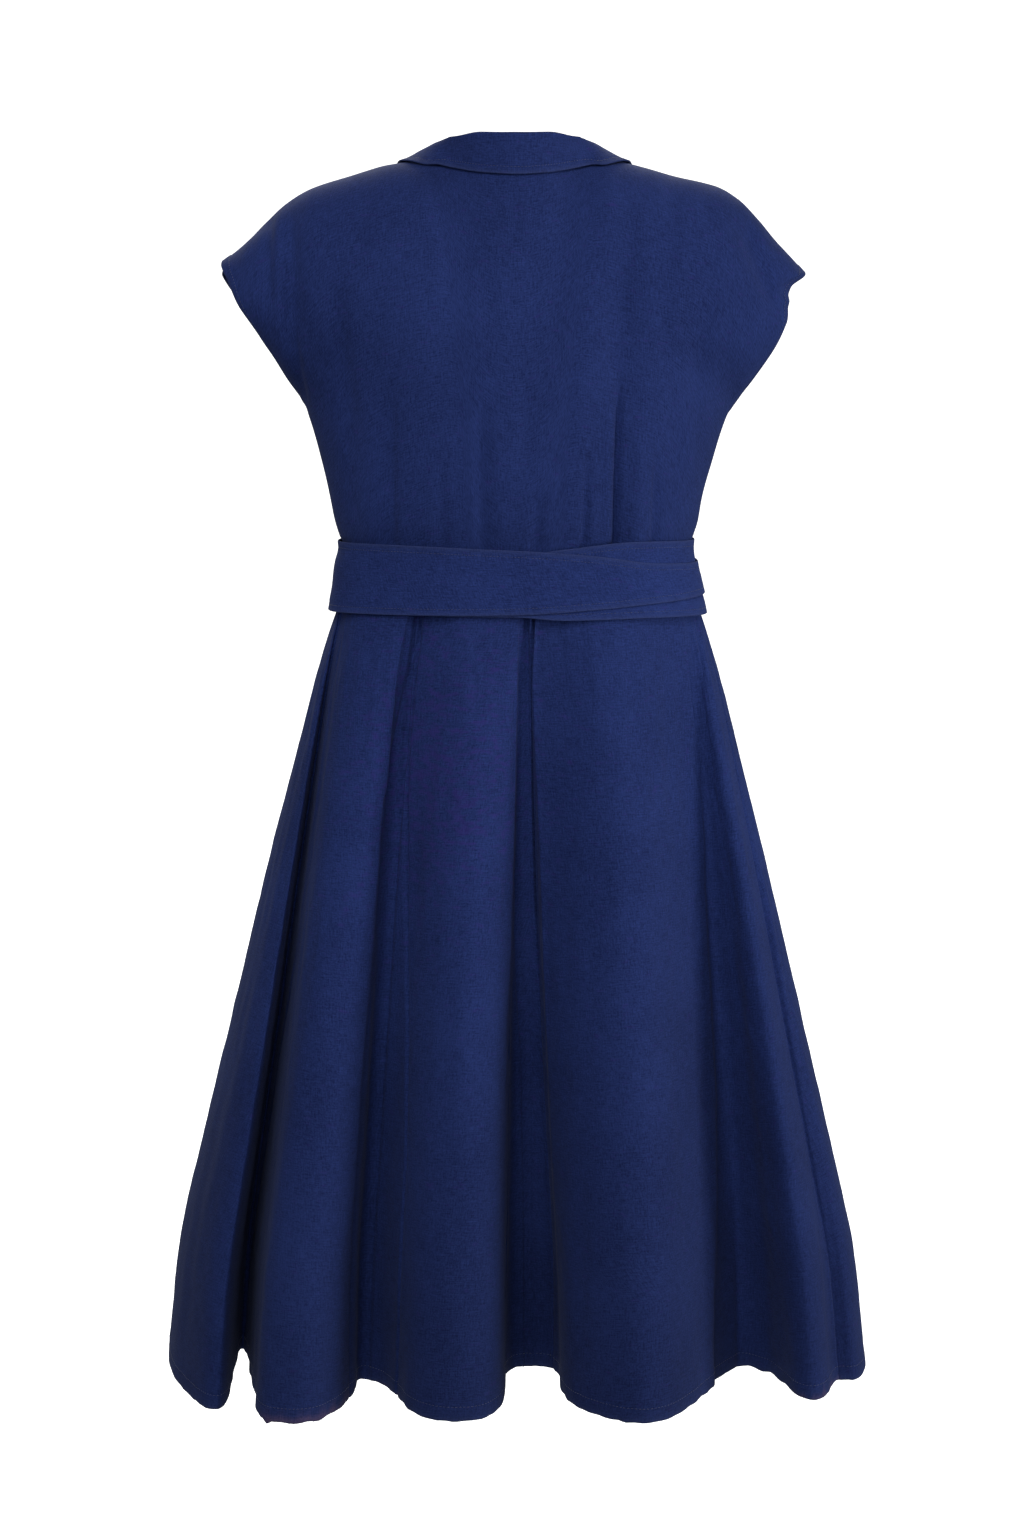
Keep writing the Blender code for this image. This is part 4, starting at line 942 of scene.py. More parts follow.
# The front's edges: folded front edge, shoulder seam and masks; then its shell.
def shapeFront(side, sign, across, up, points, dressed, normals, hemDistance):
    fromEdge, spanDown = gridSpans(points)
    fromTop = spanDown[-1:] - spanDown
    onSeam = neckPart(np.sin(across * math.pi / 2)) >= 1
    dressed = dressed + normals * np.where(onSeam, seamDip(fromTop), 0)[..., None]
    band = turnedBand(fromEdge, bodiceDress["band"], bodiceDress["bandRise"], 0.001)
    dressed = dressed + normals * band[..., None]
    weave = metricWeave(points, 0)
    wear = np.maximum(bodiceDress["edgeWear"] * edgeWear(hemDistance),
                      bodiceDress["foldWear"] * edgeWear(fromEdge))
    piece = shell(f"bodiceFront{side}", dressed, normals, bodice["cloth"], weave, looks["bodice"],
                  {"wear": wear, "fray": 0.0})
    grids[f"bodiceFront{side}"] = (dressed, normals, hemDistance, fromEdge)
    return finishPiece(piece, [f"bodice_front_{side.lower()}"])


pieces = {}
pieces["bodiceBack"] = buildBodiceBack()
pieces["bodiceFrontLeft"] = buildBodiceFront("Left", 1)
pieces["bodiceFrontRight"] = buildBodiceFront("Right", -1)
print("bodice ready")


skirtCreases = [
    # line of (place, drop), depth, widths to the wearer's left and right, fade
    ([(26.10, 0.02), (26.62, 0.14), (26.80, 0.25), (26.78, 0.39), (26.62, 0.52), (26.52, 0.63),
      (26.48, 0.76), (26.55, 1.05)], 0.0068, (0.0015, 0.0013), 0.02),
    ([(26.02, 0.02), (26.54, 0.14), (26.72, 0.25), (26.70, 0.39), (26.54, 0.52), (26.44, 0.63),
      (26.40, 0.76), (26.47, 1.05)], -0.0016, (0.0050, 0.0080), 0.03),
    ([(0.62, 0.36), (0.54, 0.43), (0.20, 0.58), (0.14, 0.78), (0.12, 1.05)],
     0.0016, (0.0012, 0.0040), 0.06),
    ([(1.00, 0.46), (0.96, 0.51), (0.77, 0.77), (0.95, 1.05)], 0.0014, (0.0040, 0.0014), 0.08),
    ([(1.15, 0.00), (1.10, 0.50)], -0.0022, (0.0120, 0.0120), 0.06),
    ([(2.90, 0.02), (2.97, 0.20), (2.66, 0.54), (2.58, 0.69), (2.58, 0.88), (2.62, 1.05)],
     0.0044, (0.0026, 0.0015), 0.03),
    ([(2.82, 0.05), (4.05, 0.26), (4.03, 0.44), (4.18, 0.56), (4.21, 0.75), (4.15, 1.05)],
     0.0016, (0.0020, 0.0080), 0.03),
    ([(3.20, 0.12), (3.35, 0.30), (3.35, 1.05)], 0.0030, (0.016, 0.012), 0.10),
    ([(6.35, 0.46), (6.60, 0.60), (7.00, 0.98)], 0.0020, (0.0030, 0.0030), 0.04),
    ([(23.55, 0.40), (23.70, 1.05)], 0.0012, (0.008, 0.012), 0.08),
    ([(23.91, 0.68), (24.09, 1.05)], 0.0012, (0.005, 0.008), 0.05),
    ([(24.05, 0.01), (23.93, 0.15), (24.00, 0.25), (24.11, 0.38), (24.20, 0.65), (24.39, 0.89),
      (24.42, 1.05)], -0.0034, (0.018, 0.0055), 0.05),
    ([(22.91, 0.03), (23.45, 0.13)], 0.0016, (0.004, 0.004), 0.02),
    ([(21.33, 0.36), (21.53, 0.52), (21.84, 0.67), (21.86, 0.77), (22.11, 0.88), (21.96, 1.05)],
     -0.0014, (0.004, 0.004), 0.04),
    ([(12.10, 0.10), (12.40, 1.05)], 0.0018, (0.009, 0.012), 0.06),
    ([(13.45, 0.04), (13.30, 0.40), (13.36, 1.05)], 0.0030, (0.0030, 0.0090), 0.04),
    ([(16.60, 0.05), (16.75, 0.45), (16.70, 1.05)], 0.0028, (0.0090, 0.0030), 0.04),
    ([(18.10, 0.16), (18.40, 1.05)], 0.0016, (0.010, 0.008), 0.08),
    ([(19.30, 0.30), (19.20, 1.05)], 0.0020, (0.0040, 0.0080), 0.06),
]
hemWear = {
    "rows": table("low high share depth", [
        (0.146, 0.216, 1.0, 0.0085), (-0.286, -0.262, 0.8, 0.0060),
        (-0.262, -0.245, 0.45, 0.0040), (0.100, 0.118, 0.5, 0.0040)]),
    "blend": 0.006, "torn": 0.0035, "ragged": 0.0006, "raggedUp": 0.012,
    "spikeX": 0.2125, "spikeWidth": 0.0022, "spikeLength": 0.0032,
}
crowding = {"fine": 1600, "most": 5.0, "pull": 0.009, "reach": 0.055}
skirtDress = {
    # ripples: depth, upright stretch, shortest and longest wave, lean, seed, drops it grows between
    "ripples": [(0.0007, 1, 0.030, 0.110, 0.12, 31, (0, 0.1)),
                (0.00035, 1, 0.014, 0.040, 0.5, 37, (-1, 0)),
                (0.0016, 0.3, 0.05, 0.13, 0.2, 41, (0.75, 1.0))],
    "rows": 108, "seamHeld": 0.020, "hem": (0.013, 0.0155), "hemRise": 0.0005, "hemThick": 0.0006,
    "hemWear": 0.9, "hemWearWidth": 0.003, "frontWear": 0.5,
}
bloomPatch = {"x": 0.065, "z": -0.53, "halfX": 0.085, "halfZ": 0.13}


# Places across a panel that crowd together at its crease lines: even steps of a running sum
# whose rate peaks at each line, read back row by row.
def crowdedPlaces(start, end, drop, count):
    fine = start + (end - start) * np.linspace(0, 1, crowding["fine"])
    rate = np.ones_like(fine)
    for line, depth, widths, fade in skirtCreases:
        linePlace, lineDrop = np.array(line, float).T
        away = placesApart(fine, np.interp(drop, lineDrop, linePlace))
        peak = min(crowding["most"], crowding["pull"] / min(widths))
        rate = rate + peak * bell(away, crowding["reach"])
    running = np.cumsum(rate, axis=1)
    running = (running - running[:, :1]) / (running[:, -1:] - running[:, :1])
    return np.stack([np.interp(denseEnds(count), total, places)
                     for total, places in zip(running, fine)])


# Metres of cloth round the skirt to each place, two thirds of the way down.
ringPlaces = np.linspace(0, foldCount, 1200)
ringSpeed = placeSpeed(ringPlaces, 0.66 + 0 * ringPlaces)
ringLength = np.concatenate([[0], np.cumsum(ringSpeed[1:] * np.diff(ringPlaces))])


# Ripples over the cloth's length and height, each growing between two drops.
def skirtRipples(around, z, drop):
    total = 0
    for depth, stretch, low, high, lean, seed, grows in skirtDress["ripples"]:
        wave = depth * ripple(around, z * stretch, low, high, lean, seed)
        total = total + wave * ease(*grows, drop)
    return total


# One panel between two fold rows, its edges moved on by their laps.
def skirtPanel(name, node, first, last, firstLap, lastLap, density, under):
    drop = denseEnds(skirtDress["rows"])[:, None]
    start = first + firstLap / placeSpeed(np.full_like(drop, first), drop)
    end = last + lastLap / placeSpeed(np.full_like(drop, last), drop)
    place = crowdedPlaces(start, end, drop, int((last - first) * density))
    drop = drop + np.zeros_like(place)
    points, normals = skirtSurface(place, drop)
    if under:
        points = tuckedUnder(points, normals)
    fromFirst, spanDown = gridSpans(points)
    fromLast = fromFirst[:, -1:] - fromFirst
    fromHem = spanDown[-1:] - spanDown
    fromFront = fromFirst if firstLap else fromLast
    x, y, z = np.moveaxis(points, -1, 0)
    around = np.interp(place, ringPlaces, ringLength)
    loose = skirtRipples(around, z, drop)
    held = np.ones_like(loose)
    relief = skirtRelief(skirtCreases, place, drop, placeSpeed(place, drop))
    for lapped, distance in ((firstLap, fromFirst), (lastLap, fromLast)):
        if not lapped:
            held = held * ease(0, skirtDress["seamHeld"], distance)
            relief = relief + seamDip(distance)
    relief = relief + loose * held + turnedBand(fromHem, skirtDress["hem"], skirtDress["hemRise"])
    dressed = points + normals * relief[..., None]
    dressed[..., 2] += raggedHem(x, y, around, fromHem)
    hemEdge = skirtDress["hemWear"] * edgeWear(fromHem, skirtDress["hemWearWidth"])
    frontEdge = skirtDress["frontWear"] * edgeWear(fromFront) if firstLap or lastLap else 0
    masks = {"wear": np.maximum(hemEdge, frontEdge), "fray": hemFray(x, y, fromHem),
             "bloom": dyeBloom(x, y, z)}
    weave = metricWeave(points, place.shape[1] // 2)
    thickness = bodice["cloth"] + skirtDress["hemThick"] * (1 - ease(*skirtDress["hem"], fromHem))
    piece = shell(name, dressed, normals, thickness, weave, looks["skirt"], masks)
    grids[name] = (dressed, normals, spanDown, fromFront)
    return finishPiece(piece, [node])


# Where the dye has turned violet: a soft round patch on the left back, strongest in its middle.
def dyeBloom(x, y, z):
    spread = (((x - bloomPatch["x"]) / bloomPatch["halfX"]) ** 2
              + ((z - bloomPatch["z"]) / bloomPatch["halfZ"]) ** 2)
    return np.exp(-spread) * ease(0, 0.03, y)


# The hem's height: a small ripple along its edge and one torn point behind the left leg.
def raggedHem(x, y, around, fromHem):
    nearHem = 1 - ease(0, hemWear["raggedUp"], fromHem)
    spike = bell(x - hemWear["spikeX"], hemWear["spikeWidth"]) * ease(0.1, 0.12, y)
    return nearHem * (hemWear["ragged"] * ripple(around, around * 0, 0.004, 0.024, 0.1, 53)
                      - hemWear["spikeLength"] * spike)


# Where the hem is rubbed thin and brownish: a sum of short stretches, deepest at the edge.
def hemFray(x, y, fromHem):
    torn = hemWear["torn"] * ripple(x, x * 0, 0.003, 0.016, 0.1, 51)
    soft = hemWear["blend"]
    total = 0
    for low, high, share, depth in zip(*hemWear["rows"].values()):
        stretch = ease(low - soft, low + soft, x) * (1 - ease(high - soft, high + soft, x))
        total = total + share * stretch * (1 - ease(0, depth, fromHem + torn))
    return total * ease(0, 0.05, y)


lap = bodice["lap"]
skirtPanels = {
    # node, first and last fold row, laps past them, columns for each fold row, passes under
    "skirtBackLeft": ("skirt_back_left", "centrePleat", "leftSeamValley", 0, 0, 35, False),
    "skirtFrontLeft": ("skirt_front_left", "leftSeamValley", "centreFront", 0, lap, 24, True),
    "skirtFrontRight": ("skirt_front_right", "centreFront", "rightSeamValley", -lap, 0, 24, False),
    "skirtBackRight": ("skirt_back_right", "rightSeamValley", "centrePleat", 0, 0, 42, False),
}
for name, (node, first, last, firstLap, lastLap, density, under) in skirtPanels.items():
    start, end = foldAt[first], foldAt[last]
    end = end if end > start else end + foldCount
    pieces[name] = skirtPanel(name, node, start, end, firstLap, lastLap, density, under)
print("skirt ready")


collar = {"shoulderRound": 0.40, "rollAt": 0.17, "clear": 0.0030, "edgeClear": 0.0014,
          "seamClear": 0.0016, "cloth": 0.0016, "raised": 0.0003, "stations": 251,
          "reach": 0.35, "groove": (0.00035, 0.0055, 0.0010), "pucker": 0.00018, "wave": 0.0004}
collarRows = table("round seamShare edgeShare edgeAlong roll", [
    (0.00, 0.000, 0.000, 0.836, 0.0250), (0.14, 0.105, 0.150, 0.838, 0.0240),
    (0.27, 0.200, 0.285, 0.832, 0.0166), (0.34, 0.240, 0.345, 0.902, 0.0098),
    (0.40, 0.068 / 0.254, 0.388, 1.000, 0.0052), (0.55, 0.210, 0.415, 1.180, 0.0036),
    (0.70, 0.148, 0.435, 1.310, 0.0030), (0.85, 0.085, 0.455, 1.400, 0.0024),
    (1.00, 0.024, 0.478, 1.490, 0.0020)])


# Under side of the collar from its seam (across 0) over the roll to its edge (across 1).
def collarSurface(station, across):
    away = np.abs(station)
    sign = np.where(station >= 0, 1.0, -1.0)
    seamShare, edgeShare, edgeAlong, roll = (
        smoothThrough(collarRows["round"], collarRows[name], away)
        for name in ("seamShare", "edgeShare", "edgeAlong", "roll"))
    seamAcross = np.arcsin(seamShare) * 2 / math.pi
    front = away > collar["shoulderRound"]
    seamUp = upAtHeight("front", seamAcross, frontEdgeHeight(seamAcross))
    seamAlong = np.where(front, 2.0 - seamUp, 1.0)
    fall = np.maximum(0, (across - collar["rollAt"]) / (1 - collar["rollAt"]))
    share = seamShare + (edgeShare - seamShare) * fall
    columnAcross = np.arcsin(share) * 2 / math.pi
    along = seamAlong + (edgeAlong - seamAlong) * fall
    edgeZ = bodiceBase("front", np.arcsin(edgeShare) * 2 / math.pi, 2.0 - edgeAlong)[..., 2]
    seamZ = frontEdgeHeight(seamAcross)
    straight = upAtHeight("front", columnAcross, seamZ + (edgeZ - seamZ) * fall)
    frontUp = 2.0 - along
    frontUp = frontUp + (straight - frontUp) * ease(0.45, 0.75, away)
    frontPoints, frontNormals = bodiceSurface("front", sign * columnAcross, frontUp)
    backPoints, backNormals = bodiceSurface("back", sign * columnAcross, along)
    point = np.where(front[..., None], frontPoints, backPoints)
    normal = np.where(front[..., None], frontNormals, backNormals)
    lift = roll * np.where(fall == 0, across / collar["rollAt"], (1 - fall) ** 1.5)
    fromSeam = (collar["clear"] - collar["seamClear"]) * ease(0, collar["rollAt"] * 1.6, across)
    toEdge = (collar["edgeClear"] - collar["clear"]) * ease(0.55, 1.0, across)
    lean = collar["seamClear"] + fromSeam + toEdge
    lifted = point + normal * lean[..., None]
    lifted[..., 2] += lift + collar["raised"]
    return lifted


# Average each inner point with its neighbours along both ways.
def smoothGrid(points, passes):
    for number in range(passes):
        points = points.copy()
        points[1:-1] = points[1:-1] * 0.5 + (points[:-2] + points[2:]) * 0.25
        points[:, 1:-1] = points[:, 1:-1] * 0.5 + (points[:, :-2] + points[:, 2:]) * 0.25
    return points


# Cross product of a grid's differences along both ways, made one long.
def gridNormals(points):
    return unit(np.cross(np.gradient(points, axis=1), np.gradient(points, axis=0)))


# The collar: stations from one front end to the other, rows from its seam to its edge.
def buildCollar():
    station = np.linspace(-1, 1, collar["stations"])
    across = np.concatenate([np.linspace(0, 0.3, 16)[:-1], 0.3 + 0.7 * denseEnds(26)[3:]])
    station, across = np.meshgrid(station, across)
    under = smoothGrid(collarSurface(station, across), 6)
    normals = gridNormals(under)
    outer = under + normals * collar["cloth"]
    spanAcross, spanDown = gridSpans(outer)
    fromEdge = spanDown[-1:] - spanDown
    fromEnds = np.minimum(spanAcross, spanAcross[:, -1:] - spanAcross)
    toEdge = np.minimum(fromEdge, np.where(across > 0.05, fromEnds, 1))
    along = station * collar["reach"]
    pucker = collar["pucker"] * ripple(along, across * 0.1, 0.004, 0.012, 0.2, 61)
    wave = collar["wave"] * ripple(along, across * 0.08, 0.03, 0.08, 0.8, 63)
    relief = stitchGroove(toEdge, *collar["groove"]) + pucker * bell(toEdge - 0.004, 0.004)
    relief = relief + wave * ease(0.3, 0.6, across)
    outer = outer + normals * relief[..., None]
    weave = metricWeave(outer, outer.shape[1] // 2)
    piece = shell("collarCloth", outer, normals, collar["cloth"], weave, looks["collar"],
                  {"wear": 0.9 * edgeWear(toEdge, 0.002), "fray": 0.0})
    finishPiece(piece, ["collar"])
    return piece, outer, normals, toEdge


pieces["collarCloth"], collarOuter, collarNormals, collarToEdge = buildCollar()
print("collar ready")


sash = {"cloth": 0.0014, "turnGap": 0.0008, "spare": 0.0002, "columns": 372, "rows": 22,
        "crease": 0.00035, "groove": (0.0003, 0.0050, 0.0009), "pucker": 0.00012,
        "wearWidth": 0.0022}
sashOvalRows = table("height left right back front", [
    (-0.410, 0.1645, 0.1700, 0.0990, 0.1205), (-0.398, 0.1612, 0.1675, 0.0965, 0.1185),
    (-0.372, 0.1572, 0.1612, 0.0925, 0.1150), (-0.356, 0.1548, 0.1575, 0.0908, 0.1140),
    (-0.345, 0.1520, 0.1560, 0.0900, 0.1135), (-0.330, 0.1530, 0.1570, 0.0920, 0.1150)])
innerTurnRows = table("deg top low", [
    (-180, -0.3380, -0.3980), (-90, -0.3370, -0.4010), (-40, -0.3345, -0.3985),
    (-15, -0.3400, -0.3990), (0, -0.3450, -0.3960), (60, -0.3440, -0.3950),
    (180, -0.3380, -0.3980)])
outerTurnRows = table("deg top low", [
    (-180, -0.3420, -0.3940), (-90, -0.3560, -0.3830), (-50, -0.3535, -0.3860),
    (-25, -0.3455, -0.3900), (0, -0.3405, -0.3940), (45, -0.3370, -0.3955),
    (90, -0.3385, -0.3980), (180, -0.3420, -0.3940)])


# The sash's oval at a height, its four half widths read from the rows.
def sashOval(angle, height):
    return ovalPoint(angle, *(smoothThrough(sashOvalRows["height"], sashOvalRows[name], height)
                              for name in ("left", "right", "back", "front")))


# Points a way out from the sash's oval, and their level outward normals.
def sashSurface(degrees, height, outward):
    angle = np.radians(degrees)
    along = sashOval(angle + 0.02, height) - sashOval(angle - 0.02, height)
    flat = np.zeros_like(along[..., 0])
    normal = unit(np.stack([-along[..., 1], along[..., 0], flat], axis=-1))
    point = np.concatenate([sashOval(angle, height), (flat + height)[..., None]], axis=-1)
    return point + normal * np.asarray(outward)[..., None], normal


# A band round the waist between its top and low edge, with soft lengthways creases.
def sashTurn(name, node, rows, outward, seed):
    degrees = np.linspace(-180, 180, sash["columns"], endpoint=False)
    top = smoothThrough(rows["deg"], rows["top"], degrees)
    low = smoothThrough(rows["deg"], rows["low"], degrees)
    share = denseEnds(sash["rows"])[:, None]
    height = top + (low - top) * share
    degrees = degrees + np.zeros_like(height)
    points, normals = sashSurface(degrees, height, outward + np.zeros_like(height))
    spanDown = gridSpans(points)[1]
    toEdge = np.minimum(spanDown, spanDown[-1:] - spanDown)
    circle = np.radians(degrees)
    lengthways = (0.5 * np.sin(share * 9 + 1.6 * np.sin(circle + seed))
                  + 0.4 * np.sin(share * 15 - np.sin(2 * circle + seed)))
    pucker = sash["pucker"] * np.sin(circle * 190 + 3 * np.sin(circle * 7))
    relief = sash["crease"] * lengthways * ease(0.002, 0.010, toEdge)
    relief = relief + stitchGroove(toEdge, *sash["groove"]) + pucker * bell(toEdge - 0.003, 0.003)
    outer = points + normals * relief[..., None]
    weave = metricWeave(points, 0)
    piece = shell(name, outer, normals, sash["cloth"] - sash["spare"], weave, looks["sash"],
                  {"wear": edgeWear(toEdge, sash["wearWidth"]), "fray": 0.0}, around=True)
    finishPiece(piece, [node])
    return piece, outer, normals, spanDown


innerOut = sash["cloth"]
outerOut = 2 * sash["cloth"] + sash["turnGap"]
pieces["sashInnerTurn"], innerPoints, innerNormals, innerDown = sashTurn(
    "sashInnerTurn", "sash_inner_turn", innerTurnRows, innerOut, 0.4)
pieces["sashOuterTurn"], outerPoints, outerNormals, outerDown = sashTurn(
    "sashOuterTurn", "sash_outer_turn", outerTurnRows, outerOut, 2.1)

knot = {"deg": 162.0, "z": -0.368, "size": (0.036, 0.017, 0.042), "clear": 0.0024, "turns": 128,
        "tilts": 72, "square": 0.72, "filled": 0.54, "foldDepth": 0.075, "fineDepth": 0.025}


# The knot: a squarish ball whose surface falls into slanting folds that run into its corners.
def buildKnot():
    centre, normal = sashSurface(np.array(knot["deg"]), np.array(knot["z"]),
                                 np.array(outerOut + knot["size"][1] / 2 + knot["clear"]))
    turn = np.linspace(0, 2 * math.pi, knot["turns"], endpoint=False)
    tilt = np.linspace(0.02, math.pi - 0.02, knot["tilts"])[:, None]
    round3 = np.stack([np.sin(tilt) * np.cos(turn), -np.sin(tilt) * np.sin(turn),
                       np.cos(tilt) + np.zeros_like(turn)], -1)
    squarish = np.sign(round3) * np.abs(round3) ** knot["square"]
    reach = np.linalg.norm(np.abs(squarish), ord=4, axis=-1, keepdims=True)
    squarish = squarish / reach * knot["filled"]
    slant = squarish[..., 0] * 0.9 + squarish[..., 2] * 0.55
    folds = (knot["foldDepth"] * np.sin(slant * 15 + 1.2 * np.sin(squarish[..., 2] * 5))
             + knot["fineDepth"] * np.sin(slant * 34 + 2))
    folds = folds * ease(-0.1, 0.25, -squarish[..., 1] + 0.15)
    local = squarish * (1 + folds[..., None])
    size = np.array(knot["size"])
    facing = math.atan2(normal[0], -normal[1])
    scaled = local * size
    points = np.stack([scaled[..., 0] * math.cos(facing) - scaled[..., 1] * math.sin(facing),
                       scaled[..., 0] * math.sin(facing) + scaled[..., 1] * math.cos(facing),
                       scaled[..., 2]], -1) + centre
    rows, columns = points.shape[:2]
    faces = gridFaces(rows, columns, 0, True)
    caps = np.concatenate([points.reshape(-1, 3), points[:1].mean(1), points[-1:].mean(1)])
    count = rows * columns
    ring = np.arange(columns)
    here, middle, after = ring[::2], np.roll(ring, -1)[::2], np.roll(ring, -2)[::2]
    last = (rows - 1) * columns
    centres = np.full(columns // 2, count)
    topFaces = np.stack([here, centres, after, middle], -1)
    lowFaces = np.stack([here + last, middle + last, after + last, centres + 1], -1)
    allFaces = np.concatenate([faces, topFaces, lowFaces])
    uv = np.stack([local[..., 0] * 0.05 + local[..., 2] * 0.02, local[..., 2] * 0.05], -1)
    uv = uv.reshape(-1, 2)
    uv = np.concatenate([uv, uv[:1], uv[-1:]])
    piece = meshObject("sashKnot", caps, allFaces, looks["sash"], uv,
                       {"wear": np.zeros(len(caps)), "fray": np.zeros(len(caps))})
    return finishPiece(piece, ["sash_knot"])


pieces["sashKnot"] = buildKnot()

tail = {"topZ": -0.3965, "lift": 0.0062, "lifted": 0.007, "rows": 90, "columns": 26,
        "groove": (0.00025, 0.005, 0.0009), "gather": 0.0010, "sway": 0.0012, "drift": 0.004}


# A sash end over the left front of the skirt, out over the sash's edge at its top.
def buildTail(name, node, shift, lean, width, length, clear, slant, seed):
    along = denseEnds(tail["rows"])[:, None]
    span = skirt["hemZ"] - bodice["waistZ"]
    dropTop = (tail["topZ"] - bodice["waistZ"]) / span
    across = denseEnds(tail["columns"]) - 0.5
    drop = dropTop - (length + slant * (across + 0.5) * ease(0.6, 1, along)) / span * along
    place = np.full_like(drop, foldAt["frontLeftRidge"])
    speed = placeSpeed(place, drop)
    wide = width * (0.55 + 0.45 * ease(0, 0.5, along))
    drift = tail["drift"] * np.sin(along * 7 + seed)
    offset = -shift - lean * length * along + drift + wide * across
    points, normals = skirtSurface(place + offset / speed, drop)
    lift = tail["lift"] * (1 - ease(tail["lifted"], 4 * tail["lifted"], along * length))
    gather = tail["gather"] * (1 - ease(0, 0.45, along)) * np.sin(across * 34 + seed)
    sway = tail["sway"] * np.sin(along * 9 + across * 5 + seed) * ease(0.1, 0.5, along)
    points = points + normals * (clear + sash["cloth"] + lift + gather + np.abs(sway))[..., None]
    spanAcross, spanDown = gridSpans(points)
    fromSides = np.minimum(spanAcross, spanAcross[:, -1:] - spanAcross)
    toEdge = np.minimum(fromSides, spanDown[-1:] - spanDown)
    points = points + normals * stitchGroove(toEdge, *tail["groove"])[..., None]
    weave = metricWeave(points, points.shape[1] // 2)
    piece = shell(name, points, normals, sash["cloth"] - sash["spare"], weave, looks["sash"],
                  {"wear": edgeWear(toEdge, sash["wearWidth"]), "fray": 0.0})
    finishPiece(piece, [node])
    return piece, points, normals, toEdge


pieces["sashTailShort"], shortPoints, shortNormals, shortEdge = buildTail(
    "sashTailShort", "sash_tail_short", 0.012, 0.10, 0.042, 0.150, 0.0062, 0.010, 1.3)
pieces["sashTailLong"], longPoints, longNormals, longEdge = buildTail(
    "sashTailLong", "sash_tail_long", -0.004, -0.03, 0.044, 0.205, 0.0030, -0.008, 0.2)
print("sash ready")


button = {"radius": 0.0075, "stand": 0.0009, "hole": 0.0010, "holeOut": 0.0017, "sides": 48,
          "threadRadius": 0.00019, "threadApart": 0.00032, "threadSides": 6, "threadLevels": 13}
bodiceButtons = [-0.158, -0.213, -0.268, -0.320]
skirtButtons = [-0.455, -0.560, -0.665, -0.770, -0.875]


# A turned disc with a raised rim and a dished middle, bored four times.
def buttonTemplate():
    profile = table("out up", [
        (0.00, 0.0017), (0.30, 0.0017), (0.45, 0.0018), (0.58, 0.0022), (0.68, 0.0027),
        (0.80, 0.0030), (0.92, 0.0028), (0.985, 0.0022), (1.00, 0.0015), (0.985, 0.0007),
        (0.90, 0.0001), (0.70, 0.0000), (0.0, 0.0000)])
    sides = button["sides"]
    turns = np.arange(sides) * 2 * math.pi / sides
    rings = profile["out"][1:-1, None] * button["radius"]
    points = np.stack([rings * np.cos(turns), rings * np.sin(turns),
                       profile["up"][1:-1, None] + np.zeros_like(turns)], -1)
    rows = len(points)
    quads = gridFaces(rows, sides, 0, True)
    flat = points.reshape(-1, 3)
    mesh = bpy.data.meshes.new("buttonDisc")
    faces = [tuple(int(i) for i in quad[::-1]) for quad in quads]
    faces += [tuple(range(sides)), tuple(range((rows - 1) * sides, rows * sides))[::-1]]
    mesh.from_pydata(flat.tolist(), [], faces)
    mesh.update()
    disc = bpy.data.objects.new("buttonDisc", mesh)
    bpy.context.scene.collection.objects.link(disc)
    for number in range(4):
        angle = math.pi / 4 + number * math.pi / 2
        spot = (button["holeOut"] * math.cos(angle), button["holeOut"] * math.sin(angle), 0)
        bpy.ops.mesh.primitive_cylinder_add(vertices=20, radius=button["hole"], depth=0.01,
                                            location=spot)
        drill = bpy.context.object
        cut = disc.modifiers.new("hole", "BOOLEAN")
        cut.object = drill
        cut.operation = "DIFFERENCE"
        cut.solver = "EXACT"
        bpy.context.view_layer.update()
        bored = disc.evaluated_get(bpy.context.evaluated_depsgraph_get())
        cutMesh = bpy.data.meshes.new_from_object(bored)
        disc.modifiers.remove(cut)
        disc.data = cutMesh
        bpy.data.objects.remove(drill)
    result = disc.data.copy()
    bpy.data.objects.remove(disc)
    return result


# Two crossing bundles of thread through the four holes, as points and faces.
def crossThread():
    allPoints, allFaces = [], []
    total = 0
    sides, levels = button["threadSides"], button["threadLevels"]
    turns = np.arange(sides) * math.pi / 3
    upright = np.array([0, 0, 1])
    for way in (math.pi / 4, 3 * math.pi / 4):
        for shift in (-button["threadApart"], 0.0, button["threadApart"]):
            share = np.linspace(-1, 1, levels)[:, None]
            reach = button["holeOut"] * share
            height = 0.0022 - 0.0016 * np.abs(share) ** 5 + (0.0004 if way > 1 else 0)
            centre = np.stack([reach * math.cos(way) - shift * math.sin(way),
                               reach * math.sin(way) + shift * math.cos(way), height], -1)
            side = np.array([-math.sin(way), math.cos(way), 0])
            outward = side * np.cos(turns)[:, None] + upright * np.sin(turns)[:, None]
            ring = centre + button["threadRadius"] * outward
            allPoints.append(ring.reshape(-1, 3))
            allFaces.append(gridFaces(levels, sides, total, True))
            total += levels * sides
    return np.concatenate(allPoints), np.concatenate(allFaces)


# Columns: two directions in the cloth and its normal.
def placeFrame(centre, normal, roll):
    up = np.array([0.0, 0.0, 1.0]) - normal * normal[2]
    up = up / np.linalg.norm(up)
    across = np.cross(up, normal)
    turned = across * math.cos(roll) + up * math.sin(roll)
    return np.stack([turned, np.cross(normal, turned), normal], axis=1)


